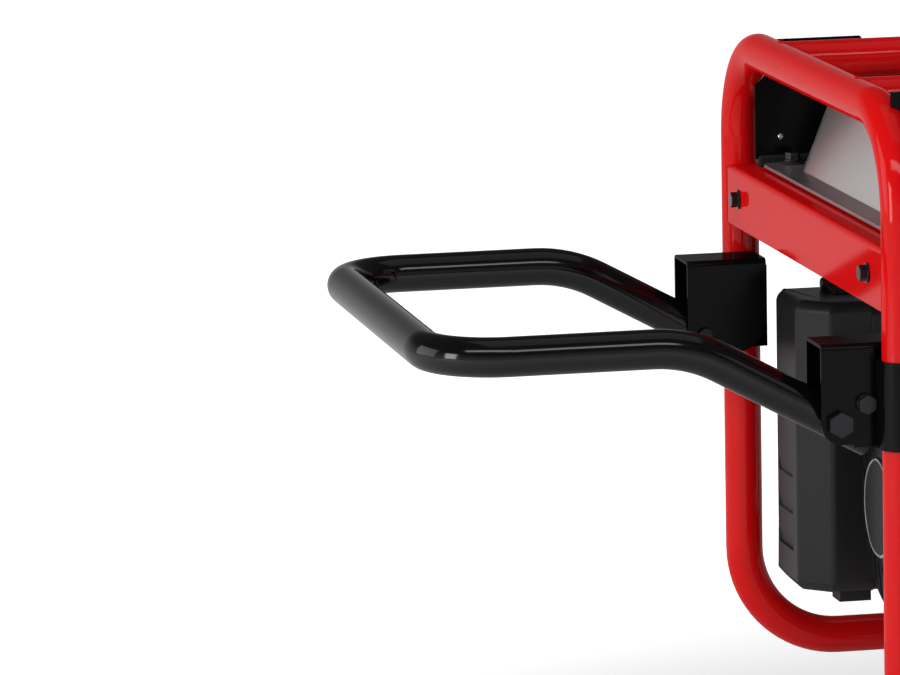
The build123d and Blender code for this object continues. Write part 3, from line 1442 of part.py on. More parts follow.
socket_flange = 58.0
socket_flange_sheet = 3.0
socket_recess_r = 20.0
socket_recess = 18.0
socket_body = 28.0
lid_sheet = 4.0
lid_pin_r = 1.6
lid_barrel_r = 3.4
lid_hinge_z = socket_z + socket_flange / 2 + lid_barrel_r + free_gap
lid_hinge_y = fascia_face + lid_barrel_r + free_gap
lid_width = 40.0
lid_face_y = fascia_face + socket_flange_sheet + free_gap + lid_sheet / 2
with BuildPart() as socket_outlets:
    for x in socket_x:
        with BuildSketch(Plane.XZ.offset(fascia_face)):
            with Locations((x, socket_z)):
                RectangleRounded(socket_flange, socket_flange, 8.0)
        extrude(amount=socket_flange_sheet)
        with BuildSketch(Plane.XZ.offset(fascia_face)):
            with Locations((x, socket_z)):
                Circle(socket_r)
        extrude(amount=-socket_body)
        with BuildSketch(Plane.XZ.offset(fascia_face + socket_flange_sheet)):
            with Locations((x, socket_z)):
                Circle(socket_recess_r)
        extrude(amount=-socket_recess, mode=Mode.SUBTRACT)
        with BuildSketch(Plane.XZ.offset(fascia_face)):
            with Locations((x - 9.5, socket_z), (x + 9.5, socket_z)):
                Circle(2.6)
        extrude(amount=-socket_body + 4.0, mode=Mode.SUBTRACT)
        for side in (-1, 1):
            ear_x = x + side * (lid_width / 2 + free_gap)
            with BuildSketch(Plane.YZ.offset(ear_x)):
                with Locations((-lid_hinge_y, lid_hinge_z)):
                    Circle(lid_barrel_r)
                with Locations((-fascia_face - 2.0, lid_hinge_z - 2.0)):
                    Rectangle(4.0, 2 * lid_barrel_r)
            extrude(amount=side * 4.0)
        with Locations((x, -lid_hinge_y, lid_hinge_z)):
            Cylinder(lid_pin_r, lid_width + 2.0, rotation=(0, 90, 0))


def socket_lid(x):
    """A flap over one socket, hung on the pin above it."""
    with BuildPart() as lid:
        with BuildSketch(Plane.XZ.offset(fascia_face + socket_flange_sheet + free_gap)):
            with Locations((x, socket_z - 1.0)):
                RectangleRounded(socket_flange - 6.0, socket_flange - 4.0, 8.0)
        extrude(amount=lid_sheet)
        with BuildSketch(Plane.YZ.offset(x - lid_width / 2)):
            with Locations((-lid_hinge_y, lid_hinge_z)):
                Circle(lid_barrel_r)
            with Locations((-lid_face_y, lid_hinge_z - 5.0)):
                Rectangle(lid_sheet, 10.0)
        extrude(amount=lid_width)
        with Locations((x, -lid_hinge_y, lid_hinge_z)):
            Cylinder(lid_pin_r + running_gap, 2 * lid_width, rotation=(0, 90, 0), mode=Mode.SUBTRACT)
    return lid


socket_lid_left = socket_lid(socket_x[0])
socket_lid_right = socket_lid(socket_x[1])

# Each piece is written under its own name
pieces = {
    "handle_end_hoop": handle_end_hoop,
    "wheel_end_hoop": wheel_end_hoop,
    "top_tube_front": top_tube_front,
    "top_tube_rear": top_tube_rear,
    "handle_end_crossmember": handle_end_crossmember,
    "wheel_end_crossmember": wheel_end_crossmember,
    "tank_rails": tank_rails,
    "flange_bolts": flange_bolts,
    "tank_rubbers": tank_rubbers,
    "mount_crossmembers": mount_crossmembers,
    "rubber_mounts": rubber_mounts,
    "support_leg": support_leg,
    "rubber_feet": rubber_feet,
    "axle_brackets": axle_brackets,
    "axle": axle,
    "axle_clips": axle_clips,
    "tyre_front": tyre_front,
    "tyre_rear": tyre_rear,
    "wheel_rim_front": wheel_rim_front,
    "wheel_rim_rear": wheel_rim_rear,
    "handle_tube": handle_tube,
    "handle_bracket_front": handle_bracket_front,
    "handle_bracket_rear": handle_bracket_rear,
    "leg_straps": leg_straps,
    "handle_bolts": handle_bolts,
    "fuel_tank": fuel_tank,
    "fuel_cap": fuel_cap,
    "rear_shield": rear_shield,
    "crankcase": crankcase,
    "oil_dipstick": oil_dipstick,
    "cylinder": cylinder,
    "cylinder_head": cylinder_head,
    "rocker_cover": rocker_cover,
    "spark_plug_cap": spark_plug_cap,
    "blower_housing": blower_housing,
    "recoil_cover": recoil_with_guide,
    "starter_pulley": starter_pulley,
    "starter_grip": starter_grip,
    "crankshaft": crankshaft,
    "flywheel": flywheel,
    "stator": stator,
    "rotor": rotor,
    "alternator_bracket": alternator_bracket,
    "alternator_bolts": alternator_bolts,
    "carburettor": carburettor,
    "choke_lever": choke_lever,
    "air_cleaner_base": air_cleaner_base,
    "air_cleaner_cover": air_cleaner_cover,
    "muffler": muffler,
    "muffler_guard": muffler_guard,
    "fuel_valve": fuel_valve,
    "fuel_valve_lever": fuel_valve_lever,
    "fuel_hose": fuel_hose,
    "panel_housing": panel_housing,
    "panel_fascia": panel_fascia,
    "engine_switch": engine_switch,
    "breaker_button": breaker_button,
    "socket_outlets": socket_outlets,
    "socket_lid_left": socket_lid_left,
    "socket_lid_right": socket_lid_right,
}
os.makedirs("parts", exist_ok=True)
for label, piece in pieces.items():
    piece.part.label = label
    export_step(piece.part, f"parts/{label}.step")
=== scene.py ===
import math

import bmesh
import bpy
from mathutils import Matrix, Vector


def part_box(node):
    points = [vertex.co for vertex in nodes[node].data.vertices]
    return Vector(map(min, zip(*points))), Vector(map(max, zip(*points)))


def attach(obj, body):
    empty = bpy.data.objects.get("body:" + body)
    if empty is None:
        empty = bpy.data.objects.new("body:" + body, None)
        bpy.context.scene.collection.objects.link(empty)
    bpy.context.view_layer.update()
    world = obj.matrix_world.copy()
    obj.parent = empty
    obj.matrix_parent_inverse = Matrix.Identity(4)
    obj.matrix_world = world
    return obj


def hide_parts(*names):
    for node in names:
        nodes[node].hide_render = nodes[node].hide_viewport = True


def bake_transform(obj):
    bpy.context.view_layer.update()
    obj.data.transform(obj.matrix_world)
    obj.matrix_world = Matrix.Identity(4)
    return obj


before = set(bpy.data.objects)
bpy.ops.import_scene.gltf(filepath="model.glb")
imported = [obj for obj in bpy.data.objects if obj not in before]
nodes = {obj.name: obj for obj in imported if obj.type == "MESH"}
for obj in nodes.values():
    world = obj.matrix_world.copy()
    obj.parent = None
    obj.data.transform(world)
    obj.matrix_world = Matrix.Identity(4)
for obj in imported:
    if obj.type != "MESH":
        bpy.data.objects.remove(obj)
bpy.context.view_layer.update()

bl_info = {
    "name": "Portable generator dressing",
    "version": (1, 1, 0),
    "blender": (4, 5, 0),
    "location": "View3D > Sidebar > Generator",
    "description": "Finishes, welds, rope and panel fittings for an open-frame portable generator",
    "category": "Object",
}

# Which CAD pieces take which finish
painted_red = (
    "handle_end_hoop", "wheel_end_hoop", "top_tube_front", "top_tube_rear", "handle_end_crossmember",
    "wheel_end_crossmember", "mount_crossmembers", "axle_brackets", "support_leg",
)
painted_black = (
    "handle_bracket_front", "handle_bracket_rear", "leg_straps", "rear_shield", "tank_rails", "panel_housing",
    "muffler_guard",
)
black_fasteners = ("flange_bolts", "handle_bolts")
zinc_plated = ("axle", "axle_clips", "crankshaft", "choke_lever", "alternator_bolts")
rubber_parts = ("rubber_mounts", "rubber_feet", "tank_rubbers", "fuel_hose", "spark_plug_cap")
moulded_black = (
    "wheel_rim_front", "wheel_rim_rear", "fuel_cap", "starter_grip", "starter_pulley", "socket_outlets",
    "socket_lid_left", "socket_lid_right", "oil_dipstick", "panel_fascia",
)
cast_parts = (
    "crankcase", "cylinder", "cylinder_head", "alternator_bracket", "carburettor", "flywheel", "fuel_valve",
)
engine_black = ("blower_housing", "recoil_cover", "rocker_cover")

# The fascia's open face lies this far behind the collars that stand on it
collar_height = 0.002

finishes = {}


def linear(hex_colour):
    """An sRGB hex colour as linear RGBA."""
    channels = [int(hex_colour[i:i + 2], 16) / 255 for i in (1, 3, 5)]
    return [c / 12.92 if c <= 0.04045 else ((c + 0.055) / 1.055) ** 2.4 for c in channels] + [1.0]


def put(tree, kind, inputs, **settings):
    """One node with its settings, and with values or links on its inputs."""
    made = tree.nodes.new(kind)
    for name, value in settings.items():
        setattr(made, name, value)
    for key, value in inputs.items():
        if isinstance(value, bpy.types.NodeSocket):
            tree.links.new(value, made.inputs[key])
        else:
            made.inputs[key].default_value = value
    return made


def finish(
        name, base, roughness, metallic=0.0, specular=0.5, coat=0.0, coat_rough=0.2, sheen=0.0,
        mottle=0.08, mottle_mm=40.0, rough_spread=0.06, rough_mm=15.0,
        grain_mm=2.5, grain=0.15, grain_depth_mm=0.1, round_mm=0.6, pattern=None):
    """A procedural finish: colour mottle, roughness spread and a surface grain at real sizes."""
    material = bpy.data.materials.new(name)
    material.use_nodes = True
    tree = material.node_tree
    tree.nodes.clear()
    place = put(tree, "ShaderNodeTexCoord", {}).outputs["Object"]
    shades = put(tree, "ShaderNodeTexNoise", {"Vector": place, "Scale": 1000 / mottle_mm, "Detail": 3.0})
    colour = linear(base)
    darker = [c * (1 - mottle) for c in colour[:3]] + [1.0]
    lighter = [min(1.0, c * (1 + mottle)) for c in colour[:3]] + [1.0]
    # Inputs 6 and 7 of a colour mix are its two colours, and output 2 is the mixed one
    mixed = put(tree, "ShaderNodeMix", {0: shades.outputs["Fac"], 6: darker, 7: lighter}, data_type="RGBA")
    wear = put(tree, "ShaderNodeTexNoise", {"Vector": place, "Scale": 1000 / rough_mm, "Detail": 3.0})
    rough = put(tree, "ShaderNodeMapRange", {
        "Value": wear.outputs["Fac"], "From Min": 0.3, "From Max": 0.7,
        "To Min": max(0.02, roughness - rough_spread), "To Max": min(1.0, roughness + rough_spread)})
    texture = put(tree, "ShaderNodeTexNoise", {"Vector": place, "Scale": 1000 / grain_mm, "Detail": 2.0})
    shade, height = mixed.outputs[2], texture.outputs["Fac"]
    if pattern:
        shade, height = pattern(tree, place, shade, height)
    edges = put(tree, "ShaderNodeBevel", {"Radius": round_mm / 1000}, samples=6)
    bump = put(tree, "ShaderNodeBump", {
        "Height": height, "Strength": grain, "Distance": grain_depth_mm / 1000, "Normal": edges.outputs[0]})
    shader = put(tree, "ShaderNodeBsdfPrincipled", {
        "Base Color": shade, "Roughness": rough.outputs["Result"], "Metallic": metallic,
        "Specular IOR Level": specular, "Coat Weight": coat, "Coat Roughness": coat_rough,
        "Sheen Weight": sheen, "Normal": bump.outputs["Normal"], "Coat Normal": edges.outputs[0]})
    put(tree, "ShaderNodeOutputMaterial", {"Surface": shader.outputs["BSDF"]})
    finishes[name] = material
    return material


def wave_scale(pitch_mm):
    """The scale at which a wave texture repeats at this pitch."""
    return math.tau / (20 * pitch_mm / 1000)


def laminations(tree, place, shade, height):
    """Stacked core sheets: 0.5 mm in a real stator, drawn 3 mm apart so that they show."""
    bands = put(tree, "ShaderNodeTexWave", {
        "Vector": place, "Scale": wave_scale(3.0), "Distortion": 0.0},
        wave_type="BANDS", bands_direction="X")
    darker = put(tree, "ShaderNodeMix", {
        0: bands.outputs["Fac"], 6: linear("#1B1A19"), 7: shade}, data_type="RGBA")
    return darker.outputs[2], bands.outputs["Fac"]


def heat_tint(tree, place, shade, height):
    """Straw to blue oxide on steel that runs hot, strongest by the exhaust port."""
    low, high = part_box("muffler")
    split = put(tree, "ShaderNodeSeparateXYZ", {0: place})
    far = put(tree, "ShaderNodeMapRange", {
        "Value": split.outputs["X"], "From Min": low.x, "From Max": high.x})
    cloud = put(tree, "ShaderNodeMath", {
        0: height, 1: 0.25, 2: far.outputs["Result"]}, operation="MULTIPLY_ADD")
    ramp = put(tree, "ShaderNodeValToRGB", {"Fac": cloud.outputs[0]})
    for position, tone in ((0.0, "#5A5F70"), (0.22, "#7A5B4A"), (0.45, "#8B7A5E")):
        stop = ramp.color_ramp.elements[0] if position == 0.0 else ramp.color_ramp.elements.new(position)
        stop.color = linear(tone)
    ramp.color_ramp.elements[-1].color = linear("#7C7771")
    tinted = put(tree, "ShaderNodeMix", {0: 0.55, 6: shade, 7: ramp.outputs["Color"]}, data_type="RGBA")
    return tinted.outputs[2], height


def mould_rings(tree, place, shade, height):
    """Fine turned rings that the tyre mould leaves on the side walls, drawn 4 mm apart."""
    low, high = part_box("tyre_front")
    centre = put(tree, "ShaderNodeMapping", {
        "Vector": place, "Location": (-(low.x + high.x) / 2, 0.0, -(low.z + high.z) / 2)})
    rings = put(tree, "ShaderNodeTexWave", {
        "Vector": centre.outputs[0], "Scale": wave_scale(4.0), "Distortion": 0.0},
        wave_type="RINGS", rings_direction="Y")
    both = put(tree, "ShaderNodeMath", {
        0: rings.outputs["Fac"], 1: 0.35, 2: height}, operation="MULTIPLY_ADD")
    return shade, both.outputs[0]


def strands(tree, place, shade, height):
    """Plaited nylon rope: slanting pale and dark strands that repeat every 4 mm."""
    turned = put(tree, "ShaderNodeMapping", {"Vector": place, "Rotation": (0.0, 0.0, math.radians(40))})
    plait = put(tree, "ShaderNodeTexWave", {
        "Vector": turned.outputs[0], "Scale": wave_scale(4.0), "Distortion": 1.5})
    mixed = put(tree, "ShaderNodeMix", {
        0: plait.outputs["Fac"], 6: linear("#3B3A37"), 7: shade}, data_type="RGBA")
    return mixed.outputs[2], plait.outputs["Fac"]


def dress(names, material):
    """Puts a finish on every material slot of these CAD nodes."""
    for name in names:
        for slot in nodes[name].material_slots:
            slot.material = material


def clear_selection():
    """Leaves object mode with nothing selected."""
    if bpy.context.object and bpy.context.object.mode != "OBJECT":
        bpy.ops.object.mode_set(mode="OBJECT")
    bpy.ops.object.select_all(action="DESELECT")


def take(piece):
    """Selects one piece and makes it the active one."""
    clear_selection()
    piece.select_set(True)
    bpy.context.view_layer.objects.active = piece


def settle(piece, name, material, body):
    """Puts the piece's place into its mesh, gives it its finish and sets it on its body."""
    take(piece)
    bpy.ops.object.transform_apply(location=True, rotation=True, scale=True)
    piece.name = name
    piece.data.name = name
    piece.data.materials.clear()
    piece.data.materials.append(material)
    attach(piece, body)
    return piece


def bead(name, points, radius, material, closed=False, ripple=0.18, pitch=0.0026):
    """A rippled weld bead along a line of points."""
    lengths = [0.0]
    run = points + points[:1] if closed else points
    for before, after in zip(run, run[1:]):
        lengths.append(lengths[-1] + (Vector(after) - Vector(before)).length)
    count = max(8, int(lengths[-1] / pitch) * 2)
    curve = bpy.data.curves.new(name, "CURVE")
    curve.dimensions = "3D"
    curve.bevel_depth = radius
    curve.bevel_resolution = 2
    curve.use_fill_caps = not closed
    line = curve.splines.new("POLY")
    line.points.add(count - 1)
    line.use_cyclic_u = closed
    for step in range(count):
        along = lengths[-1] * step / (count if closed else count - 1)
        leg = max(i for i in range(len(run) - 1) if lengths[i] <= along + 1e-9)
        part = (along - lengths[leg]) / max(1e-9, lengths[leg + 1] - lengths[leg])
        line.points[step].co = Vector(run[leg]).lerp(Vector(run[leg + 1]), part).to_4d()
        line.points[step].radius = 1 + (ripple if step % 2 else -ripple)
    made = bpy.data.objects.new(name, curve)
    bpy.context.scene.collection.objects.link(made)
    take(made)
    bpy.ops.object.convert(target="MESH")
    made = bpy.context.object
    bpy.ops.object.shade_smooth()
    return settle(made, name, material, "frame")


def stepped(sides, rings):
    """A round or hexagonal form about Z, drawn up ring by ring. A ring is a radius and a height in mm."""
    clear_selection()
    bpy.ops.mesh.primitive_circle_add(
        vertices=sides, radius=rings[0][0] / 1000, fill_type="NGON", location=(0, 0, rings[0][1] / 1000))
    piece = bpy.context.object
    bpy.ops.object.transform_apply(location=True)
    bpy.ops.object.mode_set(mode="EDIT")
    bpy.ops.mesh.select_all(action="SELECT")
    for (radius, height), (next_radius, next_height) in zip(rings, rings[1:]):
        rise = (next_height - height) / 1000
        bpy.ops.mesh.extrude_region_move(TRANSFORM_OT_translate={"value": (0, 0, rise)})
        share = next_radius / radius
        bpy.ops.transform.resize(value=(share, share, 1), center_override=(0, 0, 0))
    bpy.ops.mesh.select_all(action="SELECT")
    bpy.ops.mesh.normals_make_consistent(inside=False)
    bpy.ops.object.mode_set(mode="OBJECT")
    bpy.ops.object.shade_smooth_by_angle(angle=math.radians(32))
    return piece


def join(first, *others):
    """Joins the forms into the first one."""
    take(first)
    for other in others:
        other.select_set(True)
    bpy.ops.object.join()
    return first


def stand(piece, place, axis, turn=0.0):
    """Stands a form made about Z at a place, in metres, with its Z along an axis."""
    turned = Vector(axis).to_track_quat("Z", "Y").to_matrix().to_4x4() @ Matrix.Rotation(turn, 4, "Z")
    piece.matrix_world = Matrix.Translation(place) @ turned
    return piece


def another(piece):
    """A copy of a form with its own mesh."""
    made = piece.copy()
    made.data = piece.data.copy()
    bpy.context.scene.collection.objects.link(made)
    return made


def cut(piece, cutter):
    """Takes the cutter's form out of the piece."""
    take(piece)
    tool = piece.modifiers.new("cut", "BOOLEAN")
    tool.operation = "DIFFERENCE"
    tool.object = cutter
    bpy.ops.object.modifier_apply(modifier="cut")
    bpy.data.objects.remove(cutter)
    return piece


def pan_screw(radius):
    """A pan head screw with a cross recess, head upwards from its seat."""
    height = 0.6 * radius
    head = stepped(32, [
        (radius, 0), (radius, 0.25 * height), (0.93 * radius, 0.6 * height), (0.75 * radius, 0.88 * height),
        (0.45 * radius, height)])
    arms = []
    for length, width in ((1.1, 0.24), (0.24, 1.1)):
        bpy.ops.mesh.primitive_cube_add(size=radius / 1000, location=(0, 0, 0.95 * height / 1000))
        arm = bpy.context.object
        arm.scale = (length, width, 0.45)
        take(arm)
        bpy.ops.object.transform_apply(location=True, scale=True)
        arms.append(arm)
    for arm in arms:
        cut(head, arm)
    take(head)
    bpy.ops.object.shade_smooth_by_angle(angle=math.radians(32))
    return head


def flange_bolt(radius):
    """A hexagon head on a round flange, from its seat upwards."""
    flange = stepped(36, [(1.5 * radius, 0), (1.5 * radius, 0.25 * radius), (1.15 * radius, 0.5 * radius)])
    head = stepped(6, [
        (1.12 * radius, 0.3 * radius), (1.12 * radius, 1.2 * radius), (1.02 * radius, 1.36 * radius),
        (0.9 * radius, 1.36 * radius), (0.86 * radius, 1.28 * radius)])
    return join(flange, head)


def lettering(text, height, place, material, name):
    """Small printed signs, facing -Y with the middle of their thickness at this place."""
    thickness = 0.0002
    clear_selection()
    bpy.ops.object.text_add(location=(0, 0, 0))
    sign = bpy.context.object
    sign.data.body = text
    sign.data.size = height / 1000
    sign.data.extrude = thickness / 2
    sign.data.align_x = "CENTER"
    sign.data.align_y = "CENTER"
    bpy.ops.object.convert(target="MESH")
    sign = bpy.context.object
    sign.matrix_world = Matrix.Translation(place) @ Matrix.Rotation(math.radians(90), 4, "X")
    return settle(sign, name, material, "frame")


def rounded_cover():
    """The air cleaner cover with its outer edges rounded, as the mould leaves them."""
    cover = another(nodes["air_cleaner_cover"])
    cover.parent = None
    take(cover)
    bpy.ops.object.mode_set(mode="EDIT")
    bpy.ops.mesh.select_all(action="SELECT")
    bpy.ops.mesh.remove_doubles(threshold=1e-5)
    bpy.ops.mesh.dissolve_limited(angle_limit=math.radians(0.5))
    bpy.ops.mesh.select_all(action="DESELECT")
    bpy.ops.mesh.select_mode(type="EDGE")
    form = bmesh.from_edit_mesh(cover.data)
    flattest, sharpest, shortest = 20, 60, 0.005
    for edge in form.edges:
        if edge.is_manifold:
            bend = math.degrees(edge.calc_face_angle_signed())
            edge.select_set(flattest < bend < sharpest and edge.calc_length() > shortest)
    bmesh.update_edit_mesh(cover.data)
    bpy.ops.mesh.bevel(offset=0.003, segments=4, profile=0.5, affect="EDGES", clamp_overlap=False)
    bpy.ops.object.mode_set(mode="OBJECT")
    bpy.ops.object.shade_smooth_by_angle(angle=math.radians(25))
    cover.modifiers.new("flat_faces", "WEIGHTED_NORMAL").keep_sharp = True
    bpy.ops.object.modifier_apply(modifier="flat_faces")
    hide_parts("air_cleaner_cover")
    return cover


def seen_rays(tree):
    """One for camera, glossy and transmission rays, which all see the white background."""
    rays = put(tree, "ShaderNodeLightPath", {})
    mirrored = put(tree, "ShaderNodeMath", {
        0: rays.outputs["Is Glossy Ray"], 1: rays.outputs["Is Transmission Ray"]}, operation="MAXIMUM")
    seen = put(tree, "ShaderNodeMath", {
        0: rays.outputs["Is Camera Ray"], 1: mirrored.outputs[0]}, operation="MAXIMUM")
    return seen.outputs[0]


class GeneratorColours(bpy.types.PropertyGroup):
    """Colours of the finishes, as sRGB hex text."""

    red: bpy.props.StringProperty(
        name="Frame red", description="Gloss powder coat on the frame", default="#BE0C0D")
    black: bpy.props.StringProperty(
        name="Handle black", description="Handle tube and black sheet parts", default="#070708")
    silver: bpy.props.StringProperty(
        name="Tank silver", description="Satin paint on the tank", default="#B3AFAF")
    grey: bpy.props.StringProperty(
        name="Air box grey", description="Moulded air cleaner", default="#1D1C1D")


class GeneratorSizes(bpy.types.PropertyGroup):
    """Sizes of the pieces added to the solids."""

    bead: bpy.props.FloatProperty(
        name="Weld bead", description="Radius of a weld bead", default=0.0008, unit="LENGTH")
    rope: bpy.props.FloatProperty(
        name="Rope", description="Radius of the starter rope", default=0.002, unit="LENGTH")
    tube: bpy.props.FloatProperty(
        name="Tube", description="Outer radius of the frame tube", default=0.014, unit="LENGTH")
    screw: bpy.props.FloatProperty(
        name="Panel screw", description="Head radius of a panel screw, in mm", default=4.0)
    meter: bpy.props.FloatProperty(
        name="Meter", description="Outer radius of the voltmeter, in mm", default=29.0)


class GENERATOR_OT_frame(bpy.types.Operator):
    """Paints the tube frame and lays its weld beads"""

    bl_idname = "generator.frame"
    bl_label = "Frame"

    def execute(self, context):
        sizes = context.scene.generator_sizes
        # Gloss polyester powder coat: deep colour with a clear highlight and a faint orange peel
        red = finish(
            "Red_powder_coat", context.scene.generator_colours.red, 0.4, specular=0.0,
            coat=0.22, coat_rough=0.08, mottle=0.025, mottle_mm=160.0, rough_spread=0.03, rough_mm=40.0,
            grain_mm=3.5, grain=0.05, grain_depth_mm=0.04)
        dress(painted_red, red)
        tube_r = sizes.tube
        sides = ((-1, "front"), (1, "rear"))
        turns = [math.tau * step / 48 for step in range(48)]
        for end, sign in (("handle_end", 1), ("wheel_end", -1)):
            hoop_low, hoop_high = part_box(f"{end}_hoop")
            hoop_x = hoop_low.x + tube_r if sign > 0 else hoop_high.x - tube_r
            # The coped ends of the top tubes
            for _, side in sides:
                low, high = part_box(f"top_tube_{side}")
                y, z = (low.y + high.y) / 2, (low.z + high.z) / 2
                line = []
                for turn in turns:
                    across, up = tube_r * math.cos(turn), tube_r * math.sin(turn)
                    line.append((hoop_x + sign * abs(across), y + across, z + up))
                bead(f"weld_top_{side}_{end}", line, sizes.bead, red, closed=True)
            # The web of the end cross-member against each leg
            low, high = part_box(f"{end}_crossmember")
            web_x = low.x if sign > 0 else high.x
            clear = 0.002
            for y_side, side in sides:
                leg_y = y_side * (hoop_high.y - tube_r)
                y = leg_y - y_side * math.sqrt(tube_r * tube_r - (web_x - hoop_x) ** 2)
                line = [(web_x, y, low.z + clear), (web_x, y, high.z - clear)]
                bead(f"weld_{end}_crossmember_{side}", line, sizes.bead * 0.8, red)
        # The half rails of the two hoops meet in a butt weld on each side
        low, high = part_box("handle_end_hoop")
        turns = [math.tau * step / 40 for step in range(40)]
        for y_side, side in sides:
            y, z = y_side * (high.y - tube_r), low.z + tube_r
            line = [(high.x, y + tube_r * math.cos(turn), z + tube_r * math.sin(turn)) for turn in turns]
            bead(f"weld_rail_{side}", line, sizes.bead * 0.9, red, closed=True)
        return {"FINISHED"}


class GENERATOR_OT_fasteners(bpy.types.Operator):
    """Finishes bolts, axle and other bare steel"""

    bl_idname = "generator.fasteners"
    bl_label = "Fasteners"

    def execute(self, context):
        # Blackened steel: dark metal with a dry, slightly patchy gloss
        dress(black_fasteners, finish(
            "Black_oxide_steel", "#1E1E20", 0.36, metallic=0.75, mottle=0.2, mottle_mm=6.0,
            grain_mm=0.8, grain=0.2))
        # Zinc plate: bright, faintly yellow, with a fine even grain
        dress(zinc_plated, finish(
            "Zinc_plated_steel", "#B9B7AE", 0.3, metallic=1.0, mottle=0.06, mottle_mm=8.0,
            grain_mm=0.7, grain=0.12))
        return {"FINISHED"}


class GENERATOR_OT_handle(bpy.types.Operator):
    """Paints the handle, its brackets and the black sheet parts"""

    bl_idname = "generator.handle"
    bl_label = "Handle"

    def execute(self, context):
        black = context.scene.generator_colours.black
        # Black powder coat on the sheet parts: deep black and satin, with a wide soft highlight
        dress(painted_black, finish(
            "Black_powder_coat", black, 0.45, specular=0.0, coat=0.12, coat_rough=0.18, mottle=0.12,
            mottle_mm=80.0, rough_spread=0.03, rough_mm=30.0, grain_mm=1.8, grain=0.06, grain_depth_mm=0.04))
        # Gloss black enamel on the handle tube: smooth, with clear narrow highlights
        dress(("handle_tube",), finish(
            "Gloss_black_enamel", black, 0.4, specular=0.0, coat=0.4, coat_rough=0.1, mottle=0.12,
            mottle_mm=80.0, rough_spread=0.03, rough_mm=30.0, grain_mm=1.8, grain=0.04, grain_depth_mm=0.03))
        return {"FINISHED"}


class GENERATOR_OT_shield(bpy.types.Operator):
    """Fits the shield's screw and its rubber channel, and finishes the rubber parts"""

    bl_idname = "generator.shield"
    bl_label = "Shield and rubber parts"

    def execute(self, context):
        # Nitrile rubber: matt, a little dusty
        rubber = finish(
            "Black_rubber", "#131313", 0.62, specular=0.15, mottle=0.2, mottle_mm=12.0,
            grain_mm=0.9, grain=0.3)
        dress(rubber_parts, rubber)
        # The screw in the shield's lower corner at the handle end
        low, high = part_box("rear_shield")
        sheet = 0.002
        screw_x, screw_z = -0.1427, 0.506
        screw_radius = 2.3
        screw = stand(pan_screw(screw_radius), (screw_x, high.y - sheet, screw_z), (0, -1, 0), turn=0.4)
        settle(screw, "shield_screw", finishes["Zinc_plated_steel"], "frame")
        # A rubber channel clipped on the shield's lower edge closes the gap above the tank rail
        channel_width, channel_height = 0.006, 0.0112
        end_gap, rail_gap = 0.002, 0.0004
        channel_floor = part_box("tank_rails")[1].z + rail_gap
        clear_selection()
        bpy.ops.mesh.primitive_cube_add(size=1.0)
        seal = context.object
        seal.scale = (high.x - low.x - 2 * end_gap, channel_width, channel_height)
        seal.location = ((low.x + high.x) / 2, high.y - sheet / 2, channel_floor + channel_height / 2)
        take(seal)
        bpy.ops.object.transform_apply(location=True, scale=True)
        soften = seal.modifiers.new("soften", "BEVEL")
        soften.width = 0.0022
        soften.segments = 4
        bpy.ops.object.modifier_apply(modifier="soften")
        bpy.ops.object.shade_smooth_by_angle(angle=math.radians(40))
        settle(seal, "shield_seal", rubber, "frame")
        return {"FINISHED"}


class GENERATOR_OT_mouldings(bpy.types.Operator):
    """Finishes the moulded plastic pieces"""

    bl_idname = "generator.mouldings"
    bl_label = "Mouldings"

    def execute(self, context):
        # Moulded nylon with a spark-eroded skin
        dress(moulded_black, finish(
            "Moulded_black_nylon", "#141416", 0.5, specular=0.0, coat=0.25, coat_rough=0.32, mottle=0.12,
            mottle_mm=40.0, grain_mm=1.0, grain=0.2, grain_depth_mm=0.06))
        # Gloss ABS: smooth and evenly coloured
        dress(("engine_switch", "breaker_button", "fuel_valve_lever"), finish(
            "Red_switch_plastic", "#B3120F", 0.28, mottle=0.05, grain_mm=1.0, grain=0.08))
        return {"FINISHED"}


class GENERATOR_OT_tyres(bpy.types.Operator):
    """Finishes the tyres"""

    bl_idname = "generator.tyres"
    bl_label = "Tyres"

    def execute(self, context):
        # Solid tyre rubber with the rings of its mould
        dress(("tyre_front", "tyre_rear"), finish(
            "Tyre_rubber", "#171717", 0.58, specular=0.15, mottle=0.15, mottle_mm=15.0,
            grain_mm=1.2, grain=0.25, pattern=mould_rings))
        return {"FINISHED"}


class GENERATOR_OT_tank(bpy.types.Operator):
    """Paints the fuel tank"""

    bl_idname = "generator.tank"
    bl_label = "Tank"

    def execute(self, context):
        # Satin silver paint: fine metal flake, so it brightens towards the light
        dress(("fuel_tank",), finish(
            "Satin_silver_paint", context.scene.generator_colours.silver, 0.3, metallic=0.9, mottle=0.03,
            mottle_mm=90.0, rough_spread=0.03, rough_mm=120.0, grain_mm=1.8, grain=0.03, grain_depth_mm=0.03))
        return {"FINISHED"}


